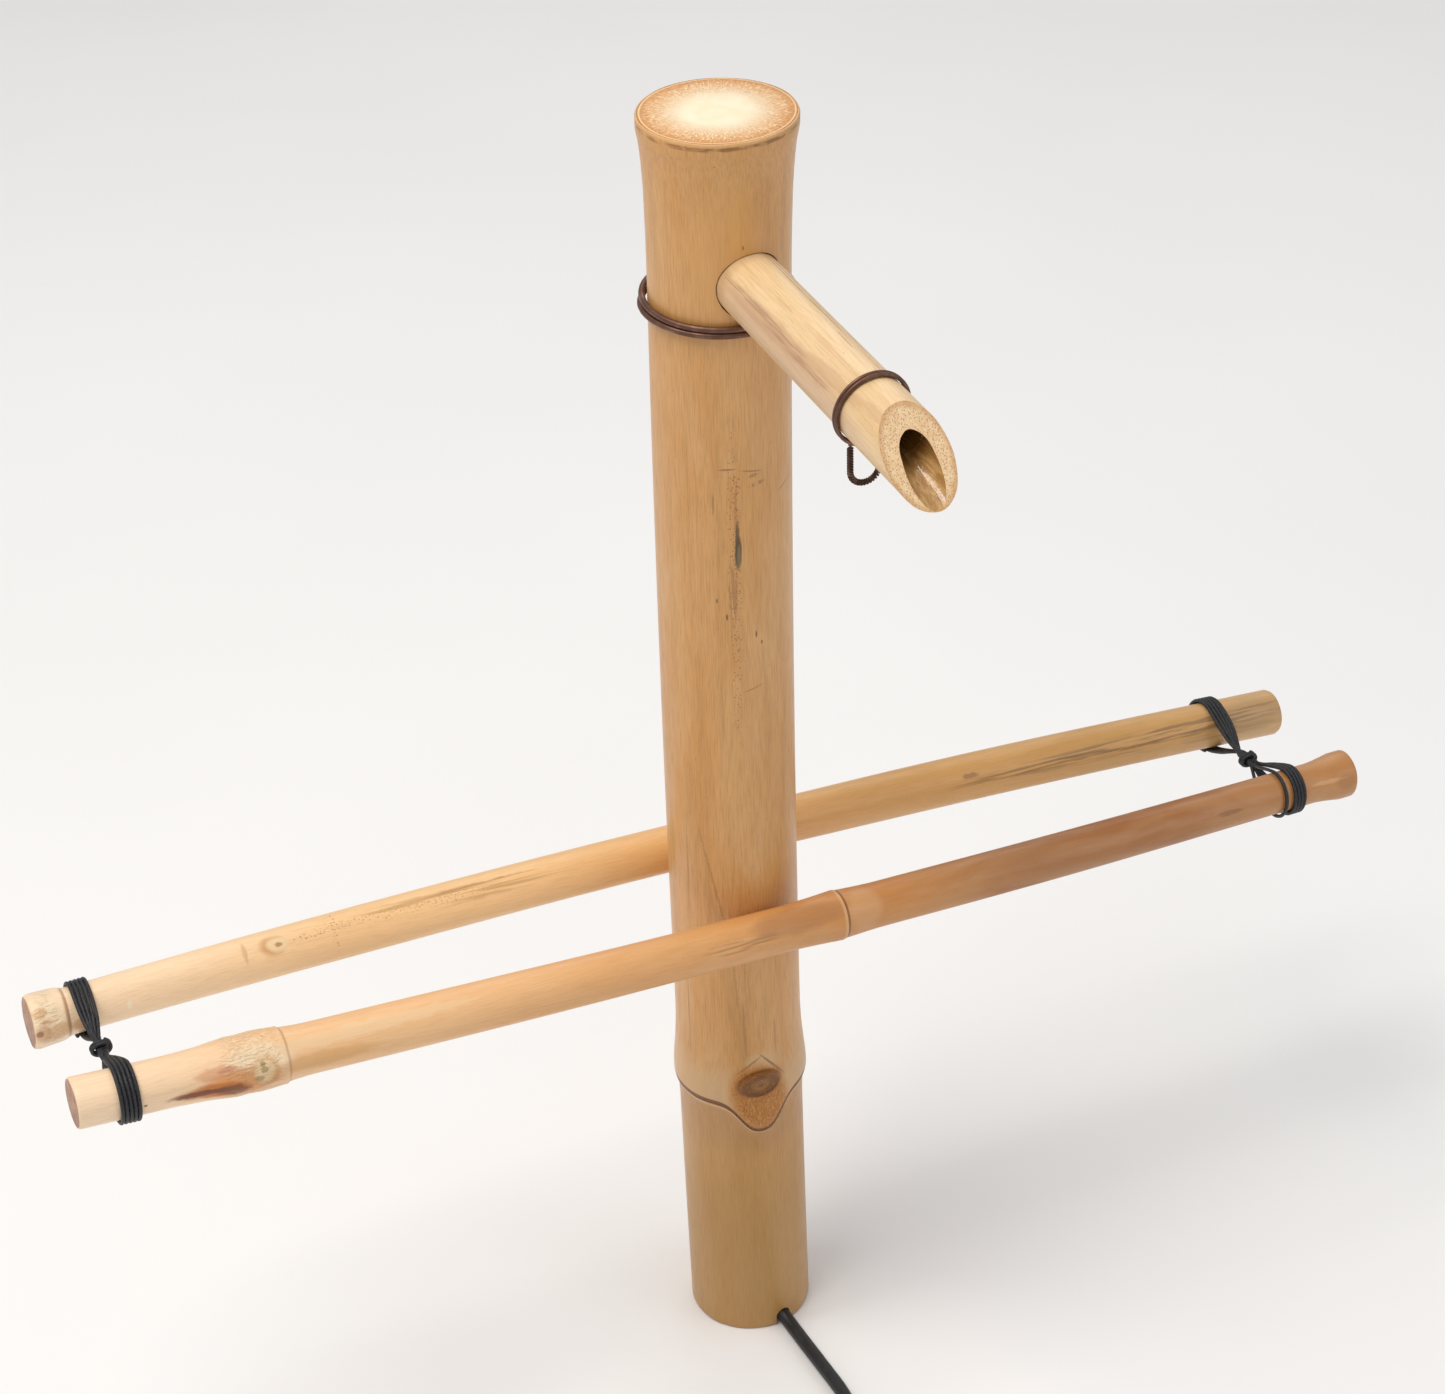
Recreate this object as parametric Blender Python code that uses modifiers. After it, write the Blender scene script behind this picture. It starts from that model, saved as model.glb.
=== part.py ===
"""Bamboo water spout for a tub or basin: an upright bamboo post with a pump in its hollow foot, a riser
tube, a spout near the top, and two lashed bamboo arms that slide on the post and rest on the tub's rim.

Units are metres, +Z is up. The origin is the middle of the outline, on the surface that the post stands
on. The pieces are built round the middle of the post's foot, and build() moves them all at the end.
The spout points to the front right (-Y and +X), and the arms run from the front left to the rear right.
"""

import math

import bmesh
import bpy
import numpy as np
from mathutils import Matrix, Vector

# Where the middle of the post's foot stands
POST_PLACE = (0.0062, 0.0023, 0.0)

# Post
POST_HEIGHT = 0.610
FOOT_RADIUS = 0.0281
FOOT_EDGE = 0.0004
NECK_RADIUS = 0.0284
POST_BOW = 0.0027
POST_WALL = 0.0050
TOP_RADIUS = 0.0315
TOP_DIAPHRAGM = 0.018
TOP_LIP_HEIGHT = 0.0050
TOP_LIP_ROUND = 0.0008
TOP_FLARE_HEIGHT = 0.060
POST_SEGMENTS = 48
BORE_SEGMENTS = 32

# Lower node of the post, with its sheath ring and bud
NODE_HEIGHT = 0.142
NODE_BULGE = 0.0021
NODE_SWELL_HEIGHT = 0.038
NODE_SCAR_HEIGHT = 0.016
NODE_LEDGE = 0.0012
NODE_DIAPHRAGM = 0.007
NODE_DIP = 0.0166
NODE_DIP_REACH = 0.036
NODE_DIP_ANGLE = math.radians(19)
BUD_ANGLE = math.radians(-70)
BUD_RISE = 0.0090
BUD_WIDTH = 0.0154
BUD_TALL = 0.0116
BUD_RELIEF = 0.0013
BUD_ROOT = 0.0030
BUD_TILT = math.radians(17)

# Foot notch for the cord
NOTCH_WIDTH = 0.0074
NOTCH_HEIGHT = 0.0084

# Spout
SPOUT_BELOW_TOP = 0.0591
SPOUT_AZIMUTH = math.radians(-63.7)
SPOUT_FALL = math.radians(5)
SPOUT_ROOT_RADIUS = 0.01355
SPOUT_TIP_RADIUS = 0.01385
SPOUT_ROOT = 0.0150
SPOUT_LENGTH = 0.1558
SPOUT_CUT_SLOPE = 1.18
SPOUT_BORE_RADIUS = 0.0066
SPOUT_GROOVE_RADIUS = 0.0061
SPOUT_GROOVE_LENGTH = 0.026
SPOUT_LIP_WALL = 0.0016
SPOUT_SEGMENTS = 32
SPOUT_SEAT_GAP = 0.0003

# Wires round the post and the spout
POST_WIRE = 0.0023
POST_WIRE_BELOW_SPOUT = 0.01515
POST_WIRE_RISE_RIGHT = 0.00125
POST_WIRE_RISE_BACK = 0.00625
POST_WIRE_START = math.radians(110)
SPOUT_WIRE = 0.0018
SPOUT_WIRE_PLACE = 0.1220
WIRE_TURNS = 2
WIRE_TURN_GAP = 0.00050
WIRE_SEAT_GAP = 0.00030
EYE_WIRE = 0.00115
EYE_THICKNESS = 0.0030
EYE_RADIUS = 0.0056
EYE_SIDE = 0.0018
EYE_DEPTH = 0.0330
EYE_PITCH = 0.0019
EYE_CURL_POINTS = 8

# Arms: each runs left and right from where it passes the post
ARM_ANGLE = math.radians(24.06)
ARM_TILT = math.radians(-3.0)
ARM_SEGMENTS = 20
FRONT_ARM_HEIGHT = 0.2446
FRONT_ARM_LEFT_LENGTH = 0.3056
FRONT_ARM_RIGHT_LENGTH = 0.2983
FRONT_ARM_LEFT_RADIUS = 0.0110
FRONT_ARM_RIGHT_RADIUS = 0.0095
FRONT_ARM_BOW = 0.0070
FRONT_ARM_GAP = 0.0012
REAR_ARM_HEIGHT = 0.2404
REAR_ARM_LEFT_LENGTH = 0.3074
REAR_ARM_RIGHT_LENGTH = 0.2989
REAR_ARM_LEFT_RADIUS = 0.0102
REAR_ARM_RIGHT_RADIUS = 0.0112
REAR_ARM_BOW = 0.0099
REAR_ARM_GAP = 0.0008
ARM_EDGE = 0.0008
ARM_KNOB_BULGE = 0.0014
ARM_NODE_BULGE = 0.0011
ARM_END_BULGE = 0.0017
ARM_KNOB_HALF = 0.020
ARM_NODE_HALF = 0.016
FRONT_KNOB_INSET = 0.0706
FRONT_NODE_RIGHT = 0.0320

# Lashings
LASHING_CORD = 0.0013
LASHING_TURNS = 4
LASHING_STRAND_GAP = 0.00066
LASHING_SEAT_GAP = 0.00030
LEFT_LASHING_INSET = 0.0206
RIGHT_LASHING_INSET = 0.0338
LASHING_WRAP_STEPS = 7
LASHING_WAIST = 0.0065
LASHING_WAY_SHARES = (0.80, 0.60, 0.40, 0.20)
FRAPPING_TURNS = 2
FRAPPING_STEPS = 14
FRAPPING_SQUARENESS = 0.5
FRAPPING_START = math.radians(60)

# Pump in the foot. Its own +X points to the cord side.
PUMP_TURN = math.radians(-57)
PUMP_WIDTH = 0.0280
PUMP_HEIGHT = 0.0360
PUMP_FLOOR = 0.0026
PUMP_EDGE = 0.0035
PUMP_FRONT = -0.0170
VOLUTE_FRONT = -0.0120
MOTOR_FRONT = -0.0040
MOTOR_BACK = 0.0125
PIECE_GAP = 0.00030
ROTOR_HEIGHT = 0.0190
STRAINER_WALL = 0.0014
STRAINER_SLOTS = 5
STRAINER_SLOT_WIDTH = 0.0016
STRAINER_SLOT_LENGTH = 0.0075
STRAINER_SLOT_PITCH = 0.0042
STRAINER_SLOT_PLACE = 0.0115
CHAMBER_RADIUS = 0.0104
VOLUTE_WALL = 0.0014
INLET_HOLES = 6
INLET_HOLE_RADIUS = 0.0015
INLET_CIRCLE = 0.0052
BEARING_BOSS_RADIUS = 0.0033
BEARING_BOSS_LENGTH = 0.0030
BUSH_RADIUS = 0.0019
BUSH_LENGTH = 0.0020
SHAFT_RADIUS = 0.0010
WELL_RADIUS = 0.0066
WELL_FLOOR = 0.0017
MAGNET_RADIUS = 0.0058
MAGNET_LENGTH = 0.0110
IMPELLER_RADIUS = 0.0090
IMPELLER_DISC = 0.0011
IMPELLER_BACK = 0.0008
IMPELLER_BLADES = 6
BLADE_HEIGHT = 0.0038
BLADE_WIDTH = 0.0012
BLADE_ROOT = 0.0040
NOZZLE_RADIUS = 0.0034
NOZZLE_BORE = 0.0024
NOZZLE_TOP = 0.0520
NOZZLE_BARB = 0.0002
NOZZLE_BARB_LENGTH = 0.0030
SEAL_RING_RADIUS = 0.0122
SEAL_RING_BORE = 0.0106
SEAL_THICKNESS = 0.0012
DIAL_RADIUS = 0.0062
DIAL_THICKNESS = 0.0012
DIAL_STEM_RADIUS = 0.0014
DIAL_STEM_TAIL = 0.0008
DIAL_GRIP_HEIGHT = 0.0012
DIAL_GRIP_WIDTH = 0.0018
DIAL_GRIP_LENGTH = 0.0090
DIAL_PORT_RADIUS = 0.0015
DIAL_PORT_PLACE = 0.0038
SUCTION_RADIUS = 0.0045
SUCTION_STEM_RADIUS = 0.0016
SUCTION_STEM_TOP = 0.0050
SUCTION_HOLLOW = 0.0010
SUCTION_LIP = 0.0007
SUCTION_SIDE = 0.0085
SUCTION_BACK = 0.0075
GLAND_RADIUS = 0.0050
GLAND_LENGTH = 0.0042
GLAND_HEIGHT = 0.0054

# Riser tube
TUBE_RADIUS = 0.0051
TUBE_WALL = 0.0012
TUBE_BEND_RADIUS = 0.0200
TUBE_BEND_STEPS = 8
TUBE_FOOT_HEIGHT = 0.0400
TUBE_REACH = 0.0950
TUBE_HOLE_GAP = 0.0005
TUBE_SIDES_RESOLUTION = 4

# Power cord: 1.8 m in all. A route's third number is its height over the floor that it rests on.
CORD = 0.0065
CORD_REST = CORD / 2 + 0.0001
CORD_ROUTE = (
    (0.0153, -0.0236, 0.0014),
    (0.0178, -0.0276, 0.0004),
    (0.0231, -0.0378, 0.0000),
    (0.0323, -0.0558, 0.0000),
    (0.0415, -0.0746, 0.0000),
    (0.0468, -0.0920, 0.0000),
    (0.0496, -0.1130, 0.0000),
)
CORD_STEP = 0.0050
COIL_CENTRE = (0.0080, -0.1600)
COIL_RADIUS = 0.0498
COIL_PITCH = 0.0071
COIL_LAYER_RISE = 0.0070
COIL_LAYER_TURNS = 3.25
COIL_START = math.radians(15)
COIL_LOOP_POINTS = 24
COIL_TAIL = 0.0200
PLUG_LENGTH = 0.0340
PLUG_WIDTH = 0.0250
PLUG_HEIGHT = 0.0200
PLUG_EDGE = 0.0050
PLUG_NECK_RADIUS = 0.0062
PLUG_NECK_TIP = 0.0042
PLUG_NECK_LENGTH = 0.0200
PIN_LENGTH = 0.0160
PIN_WIDTH = 0.0063
PIN_THICKNESS = 0.0015
PIN_SPACING = 0.0127
PIN_ROOT = 0.0020
GROUND_RADIUS = 0.0024
GROUND_LENGTH = 0.0185
GROUND_DROP = 0.0060
PIN_RISE = 0.0035

# Modelling
OVERRUN = 0.0020
MERGE = 0.00001
SMOOTH_ANGLE = math.radians(32)
ROUND_SEGMENTS = 24
SMALL_SEGMENTS = 16
GAP_SAMPLES = 5
GAP_SKIPPED_DIAMETERS = 3

# Places that follow from the sizes above
BUD_HEIGHT = NODE_HEIGHT + BUD_RISE
SPOUT_HEIGHT = POST_HEIGHT - SPOUT_BELOW_TOP
POST_WIRE_HEIGHT = SPOUT_HEIGHT - POST_WIRE_BELOW_SPOUT
LASHING_PLACES = {
    "lashing_left": LEFT_LASHING_INSET - FRONT_ARM_LEFT_LENGTH,
    "lashing_right": FRONT_ARM_RIGHT_LENGTH - RIGHT_LASHING_INSET,
}

# Side of the post, height, lengths left and right, radii left and right, bow and gap to the post
ARMS = {
    "front_arm": (
        -1,
        FRONT_ARM_HEIGHT,
        FRONT_ARM_LEFT_LENGTH,
        FRONT_ARM_RIGHT_LENGTH,
        FRONT_ARM_LEFT_RADIUS,
        FRONT_ARM_RIGHT_RADIUS,
        FRONT_ARM_BOW,
        FRONT_ARM_GAP,
    ),
    "rear_arm": (
        1,
        REAR_ARM_HEIGHT,
        REAR_ARM_LEFT_LENGTH,
        REAR_ARM_RIGHT_LENGTH,
        REAR_ARM_LEFT_RADIUS,
        REAR_ARM_RIGHT_RADIUS,
        REAR_ARM_BOW,
        REAR_ARM_GAP,
    ),
}

# Heights as shares of a swell's or the flare's height, with shares of its bulge
NODE_SWELL_SHARES = ((1.0, 0.0), (0.62, 0.20), (0.34, 0.60), (0.15, 0.92), (0.04, 1.0))
NODE_LEDGE_SHARE = 0.9
NODE_SCAR_SHARES = ((0.06, 0.62), (0.22, 0.34), (0.55, 0.10), (1.0, 0.0))
TOP_FLARE_SHARES = ((0.0, 1.0), (0.10, 0.52), (0.26, 0.34), (0.50, 0.14), (1.0, 0.0))
POST_ROW_SHARES = (0.80, 0.60, 0.40, 0.20)

# The bud's rings as shares of its half width, with shares of its relief
BUD_SHARES = ((0.0, 0.75), (0.30, 0.55), (0.52, 0.95), (0.70, 0.60), (0.88, 1.0), (1.0, 0.35))

# Rows along the spout, as shares of its length
SPOUT_ROW_SHARES = (0.8, 0.5, 0.25)

# Places along an arm's node as shares of its half length, with shares of its bulge
KNOB_SHARES = ((-1.0, 0.0), (-0.6, 0.55), (0.0, 1.0), (0.45, 0.9), (0.55, 0.35), (1.0, 0.0))
RING_SHARES = ((-1.0, 0.0), (-0.45, 0.6), (0.05, 0.85), (0.12, 1.0), (0.2, 0.4), (1.0, 0.0))
END_NODE_SHARES = ((-1.0, 0.0), (-0.65, 0.6), (-0.25, 1.0))

PARTS = "bamboo_water_spout"
CUTTERS = "cutters"


def clear_scene():
    for old in list(bpy.data.objects):
        bpy.data.objects.remove(old, do_unlink=True)
    for name in (PARTS, CUTTERS):
        bpy.context.scene.collection.children.link(bpy.data.collections.new(name))


def make_material(name, colour, roughness, metallic=0.0):
    material = bpy.data.materials.new(name)
    material.use_nodes = True
    shader = material.node_tree.nodes["Principled BSDF"]
    shader.inputs["Base Color"].default_value = (*colour, 1.0)
    shader.inputs["Roughness"].default_value = roughness
    shader.inputs["Metallic"].default_value = metallic
    material.diffuse_color = (*colour, 1.0)
    return material


def add_object(name, data, material=None, frame=None, parent=None):
    """An object in the parts collection, or a cutter where it has no material."""
    thing = bpy.data.objects.new(name, data)
    bpy.data.collections[PARTS if material else CUTTERS].objects.link(thing)
    if material:
        data.materials.append(material)
    else:
        thing.hide_render = True
        thing.display_type = "WIRE"
    if frame is not None:
        thing.matrix_local = frame
    if parent is not None:
        thing.parent = parent
    return thing


def shade(thing):
    thing.data.shade_smooth()
    thing.data.set_sharp_from_angle(angle=SMOOTH_ANGLE)


def bake(thing):
    """Replaces the object's mesh or curve modifiers by their result."""
    graph = bpy.context.evaluated_depsgraph_get()
    mesh = bpy.data.meshes.new_from_object(thing.evaluated_get(graph))
    build = bmesh.new()
    build.from_mesh(mesh)
    bmesh.ops.recalc_face_normals(build, faces=build.faces)
    build.to_mesh(mesh)
    build.free()
    thing.modifiers.clear()
    thing.data = mesh
    return thing


def turned(name, profile, segments, material=None, frame=None, parent=None):
    """A turned solid about its own Z. The profile is (radius, height) from top to bottom."""
    mesh = bpy.data.meshes.new(name)
    points = [(radius, 0.0, height) for radius, height in profile]
    mesh.from_pydata(points, [(i, i + 1) for i in range(len(points) - 1)], [])
    thing = add_object(name, mesh, material, frame, parent)
    screw = thing.modifiers.new("Turn", "SCREW")
    screw.steps = segments
    screw.render_steps = segments
    screw.use_merge_vertices = True
    screw.merge_threshold = MERGE
    screw.use_normal_calculate = True
    bake(thing)
    if material:
        shade(thing)
    return thing


def rod(name, radius, low, high, segments, material=None, frame=None, parent=None):
    profile = [(0.0, high), (radius, high), (radius, low), (0.0, low)]
    return turned(name, profile, segments, material, frame, parent)


def box(name, low, high, material=None, edge=0.0, along=0, frame=None, parent=None):
    """A box between two corners. An edge width rounds its four edges along one axis."""
    low, high = Vector(low), Vector(high)
    build = bmesh.new()
    bmesh.ops.create_cube(build, size=1.0)
    bmesh.ops.scale(build, vec=high - low, verts=build.verts)
    bmesh.ops.translate(build, vec=(low + high) / 2, verts=build.verts)
    if edge:
        long = [line for line in build.edges if abs((line.verts[0].co - line.verts[1].co)[along]) > MERGE]
        bmesh.ops.bevel(build, geom=long, offset=edge, segments=3, profile=0.5, affect="EDGES")
    mesh = bpy.data.meshes.new(name)
    build.to_mesh(mesh)
    build.free()
    thing = add_object(name, mesh, material, frame, parent)
    if material:
        shade(thing)
    return thing


def boolean(thing, other, operation="DIFFERENCE"):
    modifier = thing.modifiers.new(other.name, "BOOLEAN")
    modifier.operation = operation
    modifier.object = other
    other.hide_render = True
    other.display_type = "WIRE"


def tube(name, points, diameter, resolution, material=None, frame=None, parent=None):
    """A round tube along straight steps between the points, closed at both ends."""
    curve = bpy.data.curves.new(name, "CURVE")
    curve.dimensions = "3D"
    spline = curve.splines.new("POLY")
    spline.points.add(len(points) - 1)
    for spline_point, point in zip(spline.points, points):
        spline_point.co = (*point, 1.0)
    curve.bevel_depth = diameter / 2
    curve.bevel_resolution = resolution
    curve.use_fill_caps = True
    return add_object(name, curve, material, frame, parent)


def smooth_route(points, step):
    """Points a step apart along a smooth curve through the given points."""
    points = [Vector(point) for point in points]
    before = points[0] * 2 - points[1]
    after = points[-1] * 2 - points[-2]
    chain = [before, *points, after]
    found = []
    for a, b, c, d in zip(chain, chain[1:], chain[2:], chain[3:]):
        count = max(1, round((c - b).length / step))
        for i in range(count):
            t = i / count
            square, cube = 2 * a - 5 * b + 4 * c - d, 3 * b - a - 3 * c + d
            found.append((2 * b + (c - a) * t + square * t**2 + cube * t**3) / 2)
    found.append(points[-1])
    return found


def length_of(points):
    return sum((Vector(b) - Vector(a)).length for a, b in zip(points, points[1:]))


def report_gap(name, points, diameter):
    """Measures the least gap between stretches of one tube on points along it, and prints it."""
    points = np.array([tuple(point) for point in points])
    steps = np.linalg.norm(np.diff(points, axis=0), axis=1)
    along = np.concatenate([[0.0], np.cumsum(steps)])
    at = np.arange(0.0, along[-1], diameter / GAP_SAMPLES)
    dense = np.stack([np.interp(at, along, points[:, k]) for k in range(3)], axis=1)
    apart = GAP_SKIPPED_DIAMETERS * GAP_SAMPLES
    least = min(
        np.linalg.norm(dense[i + apart :] - dense[i], axis=1).min() for i in range(len(dense) - apart)
    )
    print(f"{name}: least gap to itself {1000 * (least - diameter):.2f} mm, length {along[-1]:.3f} m")


def frame_at(place, z_axis, y_axis):
    """A frame at a place with its Z along z_axis and its Y near y_axis."""
    z = Vector(z_axis).normalized()
    x = Vector(y_axis).cross(z).normalized()
    y = z.cross(x)
    return Matrix.Translation(place) @ Matrix((x, y, z)).transposed().to_4x4()


def post_centre(height):
    share = height / POST_HEIGHT
    return Vector((-4 * POST_BOW * share * (1 - share), 0.0, height))


def post_radius(height):
    """The plain shaft's radius, without the node and the flare."""
    return FOOT_RADIUS + (NECK_RADIUS - FOOT_RADIUS) * height / POST_HEIGHT


def node_dip(azimuth):
    """How far the sheath ring dips below the bud at an azimuth."""
    turn = (azimuth - BUD_ANGLE + math.pi) % (2 * math.pi) - math.pi
    return NODE_DIP * math.exp(-((turn / NODE_DIP_ANGLE) ** 2))


def follow_post(thing):
    """Bends a solid with the post's bow."""
    for vertex in thing.data.vertices:
        vertex.co.x += post_centre(vertex.co.z).x


def spout_direction():
    flat = Vector((math.cos(SPOUT_AZIMUTH), math.sin(SPOUT_AZIMUTH), 0.0))
    return flat * math.cos(SPOUT_FALL) - Vector((0.0, 0.0, math.sin(SPOUT_FALL)))


def spout_frame():
    """Z runs out along the spout, and Y is its upper side."""
    return frame_at(post_centre(SPOUT_HEIGHT), spout_direction(), (0.0, 0.0, 1.0))


def spout_radius(place):
    return SPOUT_ROOT_RADIUS + (SPOUT_TIP_RADIUS - SPOUT_ROOT_RADIUS) * place / SPOUT_LENGTH


def arm_direction():
    flat = Vector((math.cos(ARM_ANGLE), math.sin(ARM_ANGLE), 0.0))
    return flat * math.cos(ARM_TILT) + Vector((0.0, 0.0, math.sin(ARM_TILT)))


def post_profile():
    flare = TOP_RADIUS - NECK_RADIUS
    lip_low = POST_HEIGHT - TOP_LIP_HEIGHT
    profile = [
        (0.0, POST_HEIGHT),
        (TOP_RADIUS - TOP_LIP_ROUND, POST_HEIGHT),
        (TOP_RADIUS, POST_HEIGHT - TOP_LIP_ROUND),
    ]
    for down, bulge in TOP_FLARE_SHARES:
        profile.append((NECK_RADIUS + flare * bulge, lip_low - TOP_FLARE_HEIGHT * down))
    for share in POST_ROW_SHARES:
        low = NODE_HEIGHT + NODE_SWELL_HEIGHT
        height = low + (lip_low - TOP_FLARE_HEIGHT - low) * share
        profile.append((post_radius(height), height))
    for up, bulge in NODE_SWELL_SHARES:
        height = NODE_HEIGHT + NODE_SWELL_HEIGHT * up
        profile.append((post_radius(height) + NODE_BULGE * bulge, height))
    profile.append((post_radius(NODE_HEIGHT) + NODE_BULGE * NODE_LEDGE_SHARE, NODE_HEIGHT - NODE_LEDGE / 2))
    for down, bulge in NODE_SCAR_SHARES:
        height = NODE_HEIGHT - NODE_LEDGE - NODE_SCAR_HEIGHT * down
        profile.append((post_radius(height) + NODE_BULGE * bulge, height))
    profile += [
        (post_radius(NODE_HEIGHT / 2), NODE_HEIGHT / 2),
        (FOOT_RADIUS, FOOT_EDGE),
        (FOOT_RADIUS - FOOT_EDGE, 0.0),
        (0.0, 0.0),
    ]
    return profile


def tube_place():
    """Where the riser tube stands in the post: over the pump's nozzle."""
    nozzle = Vector(((VOLUTE_FRONT + MOTOR_FRONT) / 2, 0.0, 0.0))
    return Matrix.Rotation(PUMP_TURN, 3, "Z") @ nozzle


def post_hollow():
    """The cutter for the two hollow lengths of the post, and the drilled hole between them."""
    top = POST_HEIGHT - TOP_DIAPHRAGM
    above, below = NODE_HEIGHT + NODE_DIAPHRAGM / 2, NODE_HEIGHT - NODE_DIAPHRAGM / 2
    upper = rod("upper_hollow", NECK_RADIUS - POST_WALL, above, top, BORE_SEGMENTS)
    lower = rod("foot_hollow", FOOT_RADIUS - POST_WALL, -OVERRUN, below, BORE_SEGMENTS)
    for hollow in (upper, lower):
        build = bmesh.new()
        build.from_mesh(hollow.data)
        for height in (above + (top - above) / 3, above + 2 * (top - above) / 3, below / 2):
            cut = build.verts[:] + build.edges[:] + build.faces[:]
            bmesh.ops.bisect_plane(build, geom=cut, plane_co=(0.0, 0.0, height), plane_no=(0.0, 0.0, 1.0))
        build.to_mesh(hollow.data)
        build.free()
        follow_post(hollow)
    hole_frame = Matrix.Translation(tube_place())
    hole_radius = TUBE_RADIUS + TUBE_HOLE_GAP
    hole = rod("tube_hole", hole_radius, below - OVERRUN, above + OVERRUN, ROUND_SEGMENTS, None, hole_frame)
    return upper, lower, hole


def cord_notch():
    """The cutter for the notch in the foot: a round top over a straight slot."""
    half = NOTCH_WIDTH / 2
    outer = FOOT_RADIUS + OVERRUN
    turn = Matrix.Rotation(PUMP_TURN, 4, "Z")
    lie = Matrix.Translation((0.0, 0.0, NOTCH_HEIGHT - half)) @ Matrix.Rotation(math.pi / 2, 4, "Y")
    inner = FOOT_RADIUS - POST_WALL - OVERRUN
    arch = rod("notch_arch", half, inner, outer, SMALL_SEGMENTS, None, turn @ lie)
    slot = box("notch_slot", (inner, -half, -OVERRUN), (outer, half, NOTCH_HEIGHT - half), frame=turn)
    return arch, slot


def make_bud():
    """The bud on the lower node: an oval eye with one ring inside another."""
    half = BUD_WIDTH / 2
    profile = [(half * across, BUD_RELIEF * high) for across, high in BUD_SHARES]
    profile += [(half, -BUD_ROOT), (0.0, -BUD_ROOT)]
    out = Vector((math.cos(BUD_ANGLE), math.sin(BUD_ANGLE), 0.0))
    rise = BUD_HEIGHT - NODE_HEIGHT
    skin = post_radius(BUD_HEIGHT) + NODE_BULGE * (1 - rise / NODE_SWELL_HEIGHT)
    place = post_centre(BUD_HEIGHT) + out * skin
    squash = Matrix.Scale(BUD_TALL / BUD_WIDTH, 4, (0.0, 1.0, 0.0))
    frame = frame_at(place, out, (0.0, 0.0, 1.0)) @ Matrix.Rotation(BUD_TILT, 4, "Z") @ squash
    return turned("bud", profile, ROUND_SEGMENTS, None, frame)


def make_post(material):
    post = turned("bamboo_post", post_profile(), POST_SEGMENTS, material)
    for vertex in post.data.vertices:
        reach = max(0.0, 1 - abs(vertex.co.z - NODE_HEIGHT) / NODE_DIP_REACH)
        vertex.co.z -= node_dip(math.atan2(vertex.co.y, vertex.co.x)) * reach
    follow_post(post)
    boolean(post, make_bud(), "UNION")
    for cutter in post_hollow():
        boolean(post, cutter)
    seat = rod(
        "spout_seat",
        SPOUT_ROOT_RADIUS + SPOUT_SEAT_GAP,
        0.0,
        NECK_RADIUS + 2 * OVERRUN,
        SPOUT_SEGMENTS,
        None,
        spout_frame(),
    )
    boolean(post, seat)
    for cutter in cord_notch():
        boolean(post, cutter)
    return post


def make_spout(material):
    """The thick-walled spout: a culm with an oblique cut, a bore and a groove that runs out at the lip."""
    frame = spout_frame()
    reach = SPOUT_TIP_RADIUS * SPOUT_CUT_SLOPE
    far = SPOUT_LENGTH + reach + OVERRUN
    profile = [(0.0, far), (SPOUT_TIP_RADIUS, far)]
    profile += [(spout_radius(far * share), far * share) for share in SPOUT_ROW_SHARES]
    profile += [(SPOUT_ROOT_RADIUS, SPOUT_ROOT), (0.0, SPOUT_ROOT)]
    spout = turned("spout", profile, SPOUT_SEGMENTS, material, frame)
    wide = 2 * SPOUT_LENGTH
    tip = frame @ Matrix.Translation((0.0, 0.0, SPOUT_LENGTH))
    tilt = Matrix.Rotation(-math.atan(SPOUT_CUT_SLOPE), 4, "X")
    cut = box("mouth_cut", (-wide, -wide, 0.0), (wide, wide, wide), frame=tip @ tilt)
    boolean(spout, cut)
    bore = rod("spout_bore", SPOUT_BORE_RADIUS, 0.0, far + reach, ROUND_SEGMENTS, None, frame)
    boolean(spout, bore)
    lip = SPOUT_LENGTH + reach
    drop = SPOUT_TIP_RADIUS - SPOUT_LIP_WALL - SPOUT_GROOVE_RADIUS
    start = Vector((0.0, 0.0, lip - SPOUT_GROOVE_LENGTH))
    end = Vector((0.0, -drop, lip))
    groove_frame = frame @ frame_at(start, end - start, (0.0, 1.0, 0.0))
    groove = rod(
        "mouth_groove", SPOUT_GROOVE_RADIUS, 0.0, 2 * SPOUT_GROOVE_LENGTH, ROUND_SEGMENTS, None, groove_frame
    )
    boolean(spout, groove)
    return spout


def make_post_wire(material):
    """Two turns of wire round the post, lower at the front, where they pass under the spout."""
    pitch = POST_WIRE + WIRE_TURN_GAP
    steps = WIRE_TURNS * COIL_LOOP_POINTS
    points = []
    for i in range(steps + 1):
        turns = i / COIL_LOOP_POINTS
        angle = POST_WIRE_START + 2 * math.pi * turns
        tilt = POST_WIRE_RISE_RIGHT * math.cos(angle) + POST_WIRE_RISE_BACK * math.sin(angle)
        height = POST_WIRE_HEIGHT + tilt + pitch * (WIRE_TURNS / 2 - turns)
        radius = post_radius(height) + POST_WIRE / 2 + WIRE_SEAT_GAP
        reach = radius / math.cos(math.pi / COIL_LOOP_POINTS)
        out = Vector((math.cos(angle), math.sin(angle), 0.0))
        points.append(post_centre(height) + out * reach)
    report_gap("post_wire", points, POST_WIRE)
    return tube("post_wire", points, POST_WIRE, 1, material)


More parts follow.
